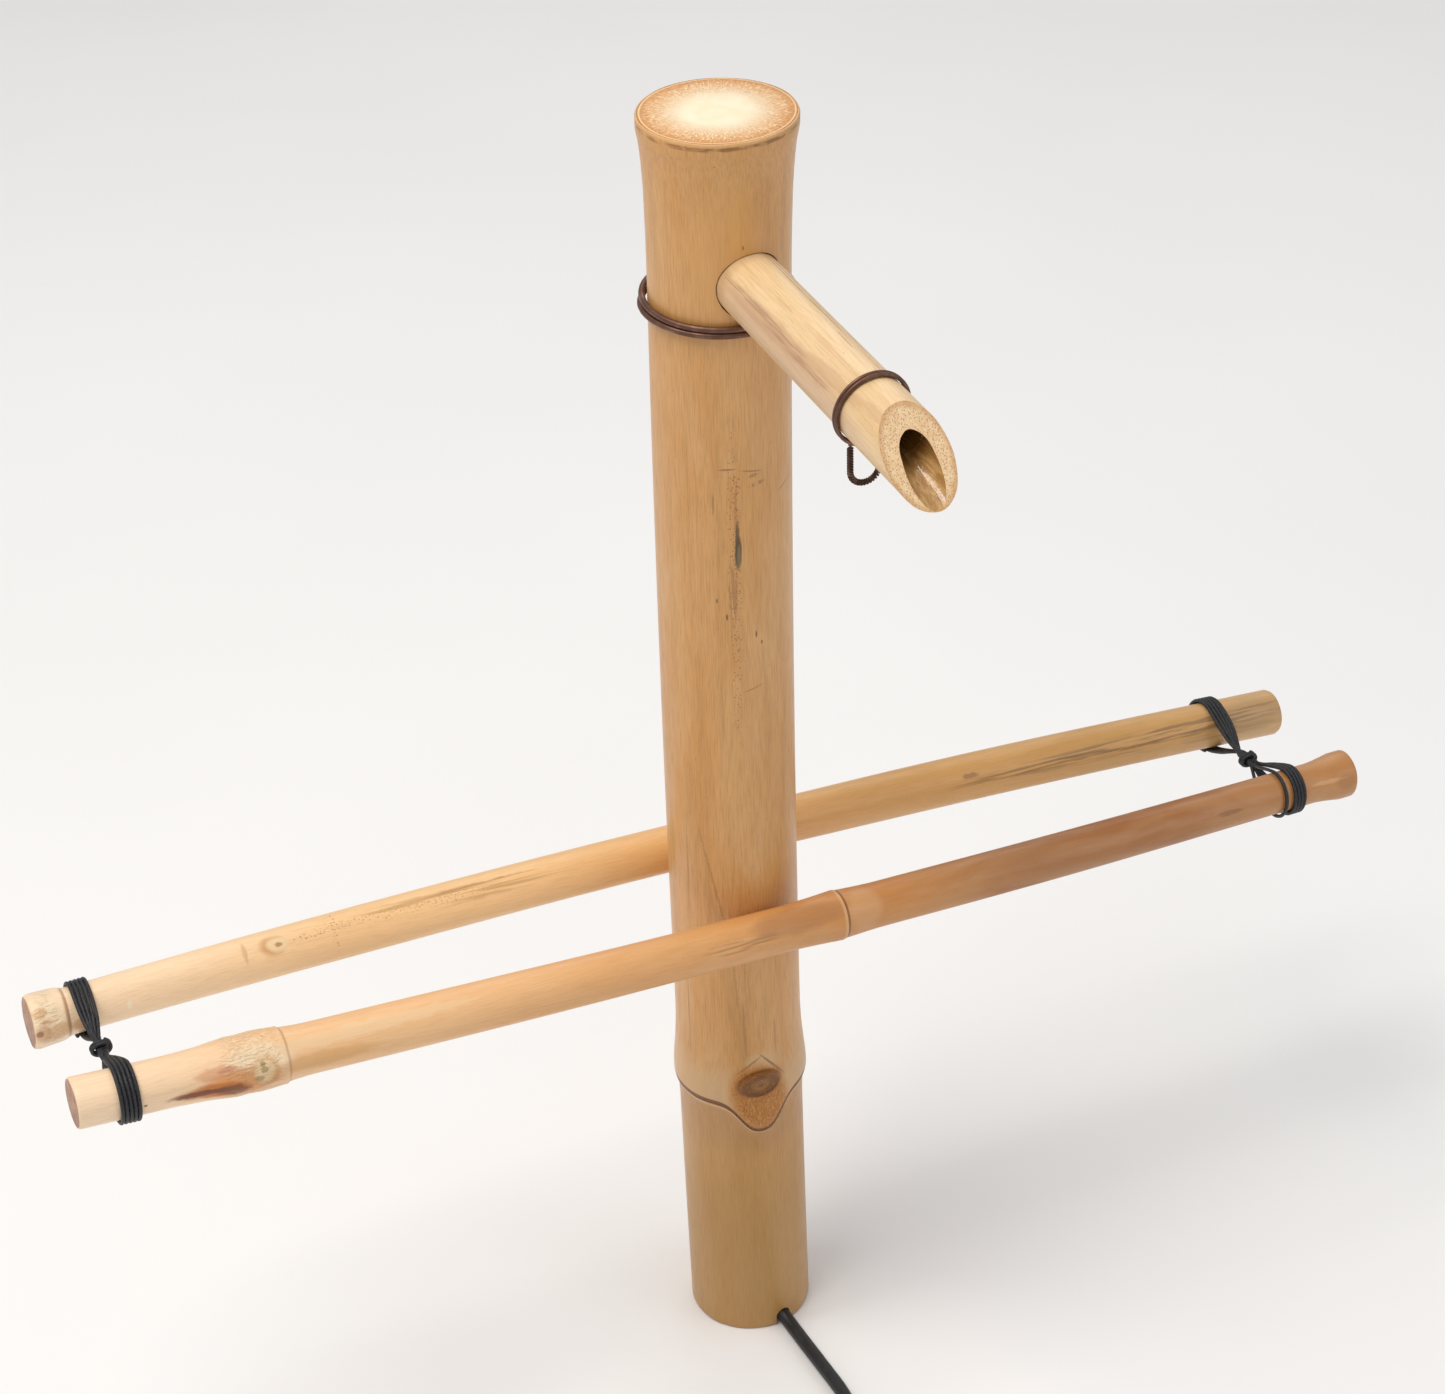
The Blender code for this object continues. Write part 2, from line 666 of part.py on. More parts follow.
def make_spout_wire(material):
    """Two turns of wire round the spout, with both ends turned down to the eye below it."""
    pitch = SPOUT_WIRE + WIRE_TURN_GAP
    radius = spout_radius(SPOUT_WIRE_PLACE) + SPOUT_WIRE / 2 + WIRE_SEAT_GAP
    radius /= math.cos(math.pi / COIL_LOOP_POINTS)
    ends = [EYE_SIDE + EYE_RADIUS, EYE_SIDE - EYE_RADIUS]
    start = math.asin(ends[0] / radius)
    finish = math.asin(ends[1] / radius) + 2 * math.pi * (WIRE_TURNS - 1)
    sweep = 2 * math.pi + finish - start
    steps = round(COIL_LOOP_POINTS * sweep / (2 * math.pi))
    points = []
    for i in range(steps + 1):
        angle = start + sweep * i / steps
        along = pitch * (i / steps - 0.5) * sweep / (2 * math.pi)
        points.append(Vector((-radius * math.sin(angle), -radius * math.cos(angle), along)))
    drop = Vector((0.0, -SPOUT_WIRE, 0.0))
    points = [points[0] + drop, *points, points[-1] + drop]
    frame = spout_frame() @ Matrix.Translation((0.0, 0.0, SPOUT_WIRE_PLACE))
    report_gap("spout_wire", points, SPOUT_WIRE)
    tube("spout_wire", points, SPOUT_WIRE, 1, material, frame)
    return points[0], points[-1]


def make_eye(material, left_end, right_end):
    """The eye under the spout: a close coil of thin wire bent into a U. It hangs in the ring's plane."""
    centre = -EYE_DEPTH + EYE_THICKNESS / 2 + EYE_RADIUS
    clear = PIECE_GAP + EYE_WIRE
    left_leg, right_leg = left_end.y - clear - centre, right_end.y - clear - centre
    bend = math.pi * EYE_RADIUS
    total = left_leg + bend + right_leg
    curls = math.floor(total / EYE_PITCH)
    radius = (EYE_THICKNESS - EYE_WIRE) / 2
    side = Vector((0.0, 0.0, 1.0))
    points = []
    for i in range(curls * EYE_CURL_POINTS + 1):
        share = i / (curls * EYE_CURL_POINTS)
        along = total * share
        if along < left_leg:
            place, out = Vector((left_end.x, centre + left_leg - along, 0.0)), Vector((-1.0, 0.0, 0.0))
        elif along < left_leg + bend:
            turn = (along - left_leg) / EYE_RADIUS
            out = Vector((-math.cos(turn), -math.sin(turn), 0.0))
            place = Vector((-EYE_SIDE, centre, 0.0)) + out * EYE_RADIUS
        else:
            past = along - left_leg - bend
            place, out = Vector((right_end.x, centre + past, 0.0)), Vector((1.0, 0.0, 0.0))
        angle = 2 * math.pi * i / EYE_CURL_POINTS
        place.z = left_end.z + (right_end.z - left_end.z) * share
        points.append(place + out * radius * math.cos(angle) + side * radius * math.sin(angle))
    frame = spout_frame() @ Matrix.Translation((0.0, 0.0, SPOUT_WIRE_PLACE))
    report_gap("spout_wire_eye", points, EYE_WIRE)
    return tube("spout_wire_eye", points, EYE_WIRE, 1, material, frame)


def arm_plain_radius(name, place):
    _, _, left, right, left_radius, right_radius, _, _ = ARMS[name]
    return left_radius + (right_radius - left_radius) * (place + left) / (left + right)


def arm_frame(name):
    """The arm's frame: Z along the arm, Y away from the post, and the origin where it passes the post."""
    side, height, _, _, left_radius, right_radius, _, gap = ARMS[name]
    out = Vector((-math.sin(ARM_ANGLE), math.cos(ARM_ANGLE), 0.0)) * side
    reach = post_radius(height) + gap + (left_radius + right_radius) / 2
    return frame_at(post_centre(height) + out * reach, arm_direction(), out)


def arm_bow(name, place):
    """The lashings pull the arm's ends in, so it bows round the post."""
    return ARMS[name][6] * (place / ARMS[name][2]) ** 2


def arm_profile(name, bumps):
    """(radius, place) from the right end to the left end. A bump is (place, half length, bulge, shares)."""
    left, right = ARMS[name][2:4]
    rows = [(place, arm_plain_radius(name, place)) for place in (-left / 2, 0.0, right / 2)]
    for place, half, bulge, shares in bumps:
        rows = [row for row in rows if abs(row[0] - place) > half]
        for along, high in shares:
            at = place + half * along
            rows.append((at, arm_plain_radius(name, at) + bulge * high))
    rows.sort()
    low = rows[0][1] if rows[0][0] < -left + ARM_NODE_HALF else arm_plain_radius(name, -left)
    high = rows[-1][1] if rows[-1][0] > right - ARM_NODE_HALF else arm_plain_radius(name, right)
    rows = [(-left, low - ARM_EDGE), (-left + ARM_EDGE, low), *rows]
    rows += [(right - ARM_EDGE, high), (right, high - ARM_EDGE)]
    profile = [(radius, place) for place, radius in reversed(rows)]
    return [(0.0, right), *profile, (0.0, -left)]


def make_arm(name, bumps, material):
    arm = turned(name, arm_profile(name, bumps), ARM_SEGMENTS, material, arm_frame(name))
    for vertex in arm.data.vertices:
        vertex.co.y -= arm_bow(name, vertex.co.z)
    return arm


def make_arms(material):
    left_end = -ARMS["rear_arm"][2]
    right_end = ARMS["front_arm"][3]
    turned_shares = tuple((-along, high) for along, high in reversed(END_NODE_SHARES))
    front_bumps = [
        (FRONT_KNOB_INSET - FRONT_ARM_LEFT_LENGTH, ARM_KNOB_HALF, ARM_KNOB_BULGE, KNOB_SHARES),
        (FRONT_NODE_RIGHT, ARM_NODE_HALF, ARM_NODE_BULGE, RING_SHARES),
        (right_end, ARM_NODE_HALF, ARM_END_BULGE, END_NODE_SHARES),
    ]
    rear_bumps = [(left_end, ARM_NODE_HALF, ARM_END_BULGE, turned_shares)]
    make_arm("front_arm", front_bumps, material)
    make_arm("rear_arm", rear_bumps, material)


def arm_centre(name, place):
    return arm_frame(name) @ Vector((0.0, -arm_bow(name, place), place))


def strand_shift(turn, side, waist):
    """A strand's shift along the arms and up. At the waist each bundle of four closes to two by two."""
    pitch = LASHING_CORD + LASHING_STRAND_GAP
    pair, row = divmod(turn, 2)
    at_arm = pitch * (2 * pair - 1)
    at_waist = pitch * (pair - 0.5 + side)
    middle = at_arm + (at_waist - at_arm) * waist**2
    half = pitch * (row - 0.5)
    lean = waist * math.pi / 2
    return middle + half * math.cos(lean), half * math.sin(lean)


def lashing_points(centre):
    """One cord in figures of eight round both arms, then round its own waist."""
    pitch = LASHING_CORD + LASHING_STRAND_GAP
    rear, front = arm_centre("rear_arm", centre), arm_centre("front_arm", centre)
    out = (front - rear).normalized()
    along = arm_direction()
    up = along.cross(out).normalized()
    if up.z < 0:
        up.negate()
    apart = (front - rear).length
    seat = LASHING_CORD / 2 + LASHING_SEAT_GAP
    rear_radius = arm_plain_radius("rear_arm", centre) + seat
    front_radius = arm_plain_radius("front_arm", centre) + seat
    cross = math.asin((rear_radius + front_radius) / apart)
    sweep = math.pi + 2 * cross
    round_out = 1 / math.cos(sweep / LASHING_WRAP_STEPS / 2)
    waist_place = rear_radius / (rear_radius + front_radius)
    middle = rear + out * apart * waist_place

    def wrap(name, turn, radius, start, step):
        """Round one arm on the outside."""
        found = []
        for i in range(LASHING_WRAP_STEPS + 1):
            angle = start + step * i / LASHING_WRAP_STEPS
            place = centre + strand_shift(turn, 0, 0.0)[0]
            spoke = out * math.cos(angle) + up * math.sin(angle)
            grow = 1.0 if i in (0, LASHING_WRAP_STEPS) else round_out
            found.append(arm_centre(name, place) + spoke * radius * grow)
        return found

    def way(start, end, turn, next_turn, side):
        """From one arm to the other, pinched at the waist."""
        found = []
        first, last = start - middle, end - middle
        for share in (*LASHING_WAY_SHARES, 0.0, *reversed([-share for share in LASHING_WAY_SHARES])):
            far = first if share >= 0 else last
            flat = far - along * far.dot(along)
            reach = flat.length * abs(share)
            waist = min(1.0, (flat.length - reach) / (flat.length - LASHING_WAIST))
            waist = waist * waist * (3 - 2 * waist)
            which = turn if share >= 0 else next_turn
            shift, lift = strand_shift(which, side, waist)
            if share == 0.0:
                shift, lift = strand_shift(turn, side, 1.0)
            found.append(middle + flat * abs(share) + along * shift + up * lift)
        return found

    points = []
    for turn in range(LASHING_TURNS):
        over = wrap("rear_arm", turn, rear_radius, -(math.pi / 2 - cross), -sweep)
        under = wrap("front_arm", turn, front_radius, -(math.pi / 2 + cross), sweep)
        points += over
        points += way(over[-1], under[0], turn, turn, -1)
        points += under
        following = min(turn + 1, LASHING_TURNS - 1)
        back = wrap("rear_arm", following, rear_radius, -(math.pi / 2 - cross), -sweep)
        home = way(under[-1], back[0], turn, turn, 1)
        points += home if turn + 1 < LASHING_TURNS else home[: len(LASHING_WAY_SHARES)]
    half_width = 2 * pitch + LASHING_CORD
    edge = (pitch * FRAPPING_TURNS + LASHING_CORD) / 2
    half_height = pitch / 2 + LASHING_CORD / math.cos(cross) + LASHING_STRAND_GAP + edge * math.tan(cross)
    steps = FRAPPING_TURNS * FRAPPING_STEPS
    for i in range(steps + 1):
        angle = FRAPPING_START + 2 * math.pi * i / FRAPPING_STEPS
        across = math.copysign(abs(math.cos(angle)) ** FRAPPING_SQUARENESS, math.cos(angle))
        high = math.copysign(abs(math.sin(angle)) ** FRAPPING_SQUARENESS, math.sin(angle))
        place = pitch * FRAPPING_TURNS * (0.5 - i / steps)
        points.append(middle + along * half_width * across + up * half_height * high + out * place)
    return points


def make_lashing(name, material):
    points = lashing_points(LASHING_PLACES[name])
    report_gap(name, points, LASHING_CORD)
    return tube(name, points, LASHING_CORD, 1, material)


def in_pump(place):
    """A frame in the pump at a place, with its Z along the rotor."""
    turn = Matrix.Rotation(PUMP_TURN, 4, "Z")
    return turn @ Matrix.Translation(place) @ Matrix.Rotation(math.pi / 2, 4, "Y")


def pump_block(name, front, back, material):
    half = PUMP_WIDTH / 2
    low, high = (front, -half, PUMP_FLOOR), (back, half, PUMP_FLOOR + PUMP_HEIGHT)
    return box(name, low, high, material, PUMP_EDGE, 0, Matrix.Rotation(PUMP_TURN, 4, "Z"))


def foot_places():
    """Where the four suction feet stand, two under the volute and two under the motor."""
    front = (VOLUTE_FRONT + MOTOR_FRONT - SEAL_THICKNESS) / 2
    return [(place, side) for place in (front, SUCTION_BACK) for side in (-SUCTION_SIDE, SUCTION_SIDE)]


def cut_foot_sockets(block, places):
    turn = Matrix.Rotation(PUMP_TURN, 4, "Z")
    for number, (place, side) in enumerate(places):
        name = f"{block.name}_socket_{number + 1}"
        frame = turn @ Matrix.Translation((place, side, 0.0))
        top = SUCTION_STEM_TOP + PIECE_GAP
        socket = rod(name, SUCTION_STEM_RADIUS + PIECE_GAP, 0.0, top, SMALL_SEGMENTS, None, frame)
        boolean(block, socket)


def make_pump_body(material):
    body = pump_block("pump_body", MOTOR_FRONT, MOTOR_BACK, material)
    floor = MOTOR_BACK - WELL_FLOOR
    pocket = BUSH_RADIUS + PIECE_GAP
    profile = [
        (0.0, floor),
        (pocket, floor),
        (pocket, floor - BUSH_LENGTH - PIECE_GAP),
        (WELL_RADIUS, floor - BUSH_LENGTH - PIECE_GAP),
        (WELL_RADIUS, MOTOR_FRONT - OVERRUN),
        (0.0, MOTOR_FRONT - OVERRUN),
    ]
    well = turned("rotor_well", profile, ROUND_SEGMENTS, None, in_pump((0.0, 0.0, ROTOR_HEIGHT)))
    boolean(body, well)
    cut_foot_sockets(body, foot_places()[2:])
    return body


def volute_back():
    return MOTOR_FRONT - SEAL_THICKNESS - 2 * PIECE_GAP


def make_volute(material):
    back = volute_back()
    volute = pump_block("pump_volute", VOLUTE_FRONT, back, material)
    wall = VOLUTE_FRONT + VOLUTE_WALL
    boss = wall + BEARING_BOSS_LENGTH
    profile = [
        (0.0, back + OVERRUN),
        (CHAMBER_RADIUS, back + OVERRUN),
        (CHAMBER_RADIUS, wall),
        (BEARING_BOSS_RADIUS, wall),
        (BEARING_BOSS_RADIUS, boss),
        (0.0, boss),
    ]
    middle = in_pump((0.0, 0.0, ROTOR_HEIGHT))
    boolean(volute, turned("chamber", profile, ROUND_SEGMENTS, None, middle))
    pocket = rod(
        "front_bush_pocket",
        BUSH_RADIUS + PIECE_GAP,
        boss - BUSH_LENGTH - PIECE_GAP,
        boss + OVERRUN,
        SMALL_SEGMENTS,
        None,
        middle,
    )
    boolean(volute, pocket)
    for i in range(INLET_HOLES):
        angle = 2 * math.pi * i / INLET_HOLES
        side, rise = INLET_CIRCLE * math.cos(angle), INLET_CIRCLE * math.sin(angle)
        frame = in_pump((0.0, side, ROTOR_HEIGHT + rise))
        low, high = VOLUTE_FRONT - OVERRUN, wall + OVERRUN / 2
        boolean(volute, rod(f"inlet_hole_{i + 1}", INLET_HOLE_RADIUS, low, high, SMALL_SEGMENTS, None, frame))
    outlet_frame = Matrix.Translation(tube_place())
    top = PUMP_FLOOR + PUMP_HEIGHT + OVERRUN
    boolean(volute, rod("outlet_hole", NOZZLE_BORE, ROTOR_HEIGHT, top, SMALL_SEGMENTS, None, outlet_frame))
    cut_foot_sockets(volute, foot_places()[:2])
    return volute


def ring(name, outer, inner, low, high, segments, material, frame):
    """A plain ring about its own Z, as a turned closed section."""
    mesh = bpy.data.meshes.new(name)
    section = [(outer, high), (outer, low), (inner, low), (inner, high)]
    points = [(radius, 0.0, height) for radius, height in section]
    mesh.from_pydata(points, [(0, 1), (1, 2), (2, 3), (3, 0)], [])
    thing = add_object(name, mesh, material, frame)
    screw = thing.modifiers.new("Turn", "SCREW")
    screw.steps = segments
    screw.render_steps = segments
    screw.use_merge_vertices = True
    screw.merge_threshold = MERGE
    screw.use_normal_calculate = True
    bake(thing)
    shade(thing)
    return thing


def make_rotor(plastic, metal, rubber):
    """The impeller with its magnet, the fixed shaft, the two bushes and the seal."""
    middle = in_pump((0.0, 0.0, ROTOR_HEIGHT))
    disc_back = MOTOR_FRONT - IMPELLER_BACK
    disc_front = disc_back - IMPELLER_DISC
    magnet_end = disc_back + MAGNET_LENGTH
    bore = SHAFT_RADIUS + PIECE_GAP
    profile = [
        (0.0, magnet_end),
        (MAGNET_RADIUS, magnet_end),
        (MAGNET_RADIUS, disc_back),
        (IMPELLER_RADIUS, disc_back),
        (IMPELLER_RADIUS, disc_front),
        (0.0, disc_front),
    ]
    impeller = turned("impeller", profile, ROUND_SEGMENTS, plastic, middle)
    for i in range(IMPELLER_BLADES):
        turn = Matrix.Rotation(2 * math.pi * i / IMPELLER_BLADES, 4, "Z")
        low = (BLADE_ROOT, -BLADE_WIDTH / 2, disc_front - BLADE_HEIGHT)
        high = (IMPELLER_RADIUS - PIECE_GAP, BLADE_WIDTH / 2, disc_front + IMPELLER_DISC / 2)
        boolean(impeller, box(f"blade_{i + 1}", low, high, frame=middle @ turn), "UNION")
    low, high = disc_front - OVERRUN, magnet_end + OVERRUN
    boolean(impeller, rod("shaft_bore", bore, low, high, SMALL_SEGMENTS, None, middle))

    front = VOLUTE_FRONT + VOLUTE_WALL + BEARING_BOSS_LENGTH - BUSH_LENGTH
    back = MOTOR_BACK - WELL_FLOOR - PIECE_GAP
    rod("rotor_shaft", SHAFT_RADIUS, front, back, SMALL_SEGMENTS, metal, middle)
    for name, low in (("shaft_bush_front", front), ("shaft_bush_rear", back - BUSH_LENGTH)):
        ring(name, BUSH_RADIUS, bore, low, low + BUSH_LENGTH, SMALL_SEGMENTS, rubber, middle)
    low = volute_back() + PIECE_GAP
    high = low + SEAL_THICKNESS
    ring("pump_seal", SEAL_RING_RADIUS, SEAL_RING_BORE, low, high, ROUND_SEGMENTS, rubber, middle)


def port_cutters(name, low, high):
    """The two ports that the dial opens and shuts."""
    found = []
    for side in (-1, 1):
        frame = in_pump((0.0, 0.0, ROTOR_HEIGHT + side * DIAL_PORT_PLACE))
        found.append(rod(f"{name}_{side + 2}", DIAL_PORT_RADIUS, low, high, SMALL_SEGMENTS, None, frame))
    return found


def make_inlet_cover(material):
    back = VOLUTE_FRONT - PIECE_GAP
    cover = pump_block("inlet_cover", PUMP_FRONT, back, material)
    half = PUMP_WIDTH / 2 - STRAINER_WALL
    low = (PUMP_FRONT + STRAINER_WALL, -half, PUMP_FLOOR + STRAINER_WALL)
    high = (back + OVERRUN, half, PUMP_FLOOR + PUMP_HEIGHT - STRAINER_WALL)
    turn = Matrix.Rotation(PUMP_TURN, 4, "Z")
    edge = PUMP_EDGE - STRAINER_WALL
    boolean(cover, box("strainer_hollow", low, high, None, edge, 0, turn))
    for row in (-1, 1):
        for i in range(STRAINER_SLOTS):
            side = STRAINER_SLOT_PITCH * (i - (STRAINER_SLOTS - 1) / 2)
            rise = ROTOR_HEIGHT + row * STRAINER_SLOT_PLACE
            low = (PUMP_FRONT - OVERRUN, side - STRAINER_SLOT_WIDTH / 2, rise - STRAINER_SLOT_LENGTH / 2)
            high = (
                PUMP_FRONT + STRAINER_WALL + OVERRUN,
                side + STRAINER_SLOT_WIDTH / 2,
                rise + STRAINER_SLOT_LENGTH / 2,
            )
            boolean(cover, box(f"slot_{row + 2}_{i + 1}", low, high, frame=turn))
    low, high = PUMP_FRONT - OVERRUN, PUMP_FRONT + STRAINER_WALL + OVERRUN
    stem = DIAL_STEM_RADIUS + PIECE_GAP
    boolean(cover, rod("stem_hole", stem, low, high, SMALL_SEGMENTS, None, in_pump((0.0, 0.0, ROTOR_HEIGHT))))
    for cutter in port_cutters("cover_port", low, high):
        boolean(cover, cutter)
    return cover


def make_dial(material):
    back = PUMP_FRONT - PIECE_GAP
    front = back - DIAL_THICKNESS
    tail = PUMP_FRONT + STRAINER_WALL + DIAL_STEM_TAIL
    profile = [
        (0.0, tail),
        (DIAL_STEM_RADIUS, tail),
        (DIAL_STEM_RADIUS, back),
        (DIAL_RADIUS, back),
        (DIAL_RADIUS, front),
        (0.0, front),
    ]
    middle = in_pump((0.0, 0.0, ROTOR_HEIGHT))
    dial = turned("flow_dial", profile, ROUND_SEGMENTS, material, middle)
    low = (front - DIAL_GRIP_HEIGHT, -DIAL_GRIP_LENGTH / 2, ROTOR_HEIGHT - DIAL_GRIP_WIDTH / 2)
    high = (front + DIAL_THICKNESS / 2, DIAL_GRIP_LENGTH / 2, ROTOR_HEIGHT + DIAL_GRIP_WIDTH / 2)
    boolean(dial, box("grip", low, high, frame=Matrix.Rotation(PUMP_TURN, 4, "Z")), "UNION")
    for cutter in port_cutters("dial_port", front - OVERRUN, back + OVERRUN / 4):
        boolean(dial, cutter)
    return dial


def make_nozzle(material):
    low = PUMP_FLOOR + PUMP_HEIGHT + PIECE_GAP
    barb = NOZZLE_TOP - NOZZLE_BARB_LENGTH
    profile = [
        (0.0, NOZZLE_TOP),
        (NOZZLE_RADIUS, NOZZLE_TOP),
        (NOZZLE_RADIUS + NOZZLE_BARB, barb),
        (NOZZLE_RADIUS, barb),
        (NOZZLE_RADIUS, low),
        (0.0, low),
    ]
    frame = Matrix.Translation(tube_place())
    nozzle = turned("outlet_nozzle", profile, ROUND_SEGMENTS, material, frame)
    bore = rod("nozzle_bore", NOZZLE_BORE, low - OVERRUN, NOZZLE_TOP + OVERRUN, SMALL_SEGMENTS, None, frame)
    boolean(nozzle, bore)
    return nozzle


def make_feet(material):
    top = PUMP_FLOOR - PIECE_GAP
    profile = [
        (0.0, SUCTION_STEM_TOP),
        (SUCTION_STEM_RADIUS, SUCTION_STEM_TOP),
        (SUCTION_STEM_RADIUS, top),
        (SUCTION_STEM_RADIUS + SUCTION_LIP, top),
        (SUCTION_RADIUS, SUCTION_LIP),
        (SUCTION_RADIUS, 0.0),
        (SUCTION_RADIUS - SUCTION_LIP, 0.0),
        (0.0, SUCTION_HOLLOW),
    ]
    turn = Matrix.Rotation(PUMP_TURN, 4, "Z")
    for number, (place, side) in enumerate(foot_places()):
        frame = turn @ Matrix.Translation((place, side, 0.0))
        turned(f"suction_foot_{number + 1}", profile, SMALL_SEGMENTS, material, frame)


def make_gland(material):
    low = MOTOR_BACK + PIECE_GAP
    frame = in_pump((0.0, 0.0, GLAND_HEIGHT))
    inner = CORD / 2 + PIECE_GAP
    return ring("cord_gland", GLAND_RADIUS, inner, low, low + GLAND_LENGTH, ROUND_SEGMENTS, material, frame)


def tube_route():
    """Up from the nozzle, then through one bend onto the spout's axis."""
    foot = tube_place()
    axis = spout_direction()
    centre = post_centre(SPOUT_HEIGHT)
    flat = Vector((axis.x, axis.y, 0.0)).normalized()
    back = (foot - centre).dot(flat)
    rise = centre.z + back * axis.z / axis.dot(flat)
    corner = Vector((foot.x, foot.y, rise))
    onto = centre + axis * (corner - centre).dot(axis)
    turn = math.acos(axis.z)
    reach = TUBE_BEND_RADIUS * math.tan(turn / 2)
    up = Vector((0.0, 0.0, 1.0))
    points = [Vector((foot.x, foot.y, TUBE_FOOT_HEIGHT))]
    for i in range(TUBE_BEND_STEPS + 1):
        angle = turn * i / TUBE_BEND_STEPS
        inward = (axis - up * axis.dot(up)).normalized()
        start = corner - up * reach
        along, risen = TUBE_BEND_RADIUS * (1 - math.cos(angle)), TUBE_BEND_RADIUS * math.sin(angle)
        points.append(start + inward * along + up * risen + (onto - corner) * i / TUBE_BEND_STEPS)
    points.append(centre + axis * TUBE_REACH)
    return points


def make_riser(material):
    points = tube_route()
    riser = tube("riser_tube", points, 2 * TUBE_RADIUS, TUBE_SIDES_RESOLUTION, material)
    first = (points[0] - points[1]).normalized() * OVERRUN
    last = (points[-1] - points[-2]).normalized() * OVERRUN
    longer = [points[0] + first, *points, points[-1] + last]
    bore = tube("riser_bore", longer, 2 * (TUBE_RADIUS - TUBE_WALL), TUBE_SIDES_RESOLUTION)
    riser = solid_from_curve(riser)
    boolean(riser, solid_from_curve(bore))
    return riser


def solid_from_curve(thing):
    """A mesh object in the curve object's place, with its cap corners joined to its sides."""
    graph = bpy.context.evaluated_depsgraph_get()
    mesh = bpy.data.meshes.new_from_object(thing.evaluated_get(graph))
    build = bmesh.new()
    build.from_mesh(mesh)
    bmesh.ops.remove_doubles(build, verts=build.verts, dist=MERGE)
    bmesh.ops.recalc_face_normals(build, faces=build.faces)
    build.to_mesh(mesh)
    build.free()
    name, material, frame = thing.name, thing.data.materials[:1], thing.matrix_world.copy()
    bpy.data.objects.remove(thing)
    mesh.materials.clear()
    solid = add_object(name, mesh, material[0] if material else None, frame)
    if material:
        shade(solid)
    return solid


def coil_point(turns, layer, radius):
    angle = COIL_START - 2 * math.pi * turns
    x = COIL_CENTRE[0] + radius * math.cos(angle)
    y = COIL_CENTRE[1] + radius * math.sin(angle)
    return Vector((x, y, CORD_REST + COIL_LAYER_RISE * layer))


def coil_heading():
    """The way the cord runs where the coil starts, and again where it ends."""
    return Vector((math.sin(COIL_START), -math.cos(COIL_START), 0.0))


def coil_points():
    """In along the floor, up a layer in the half turn where the spiral reverses, and out again on top."""
    points = [coil_point(0.0, 0.0, COIL_RADIUS) - coil_heading() * CORD]
    inner = COIL_RADIUS - COIL_PITCH * COIL_LAYER_TURNS
    total = 2 * COIL_LAYER_TURNS + 0.5
    steps = round(total * COIL_LOOP_POINTS)
    for i in range(steps + 1):
        turns = total * i / steps
        if turns <= COIL_LAYER_TURNS:
            points.append(coil_point(turns, 0.0, COIL_RADIUS - COIL_PITCH * turns))
        elif turns >= COIL_LAYER_TURNS + 0.5:
            points.append(coil_point(turns, 1.0, COIL_RADIUS - COIL_PITCH * (total - turns)))
        else:
            past = turns - COIL_LAYER_TURNS
            share = 2 * past
            layer = share * share * (3 - 2 * share)
            points.append(coil_point(turns, layer, inner - COIL_PITCH * min(past, 0.5 - past)))
    points.append(points[-1] + coil_heading() * COIL_TAIL)
    return points


def make_cord(material):
    points = coil_points()
    report_gap("cord_coil", points, CORD)
    tube("cord_coil", points, CORD, 1, material)
    turn = Matrix.Rotation(PUMP_TURN, 4, "Z")
    start = MOTOR_BACK + PIECE_GAP
    first = [turn @ Vector((start + CORD * share, 0.0, GLAND_HEIGHT)) for share in (0.0, 0.5, 1.0)]
    route = [Vector((x, y, CORD_REST + lift)) for x, y, lift in CORD_ROUTE]
    heading = coil_heading()
    join = points[0] - heading * PIECE_GAP
    last = [join - heading * CORD * share for share in (1.0, 0.5, 0.0)]
    path = smooth_route([*first, *route, *last], CORD_STEP)
    print(f"power_cord: {len(path)} points")
    report_gap("power_cord", path, CORD)
    print(f"cord in all: {length_of(path) + length_of(points):.3f} m")
    tube("power_cord", path, CORD, 2, material)
    return points[-1], heading


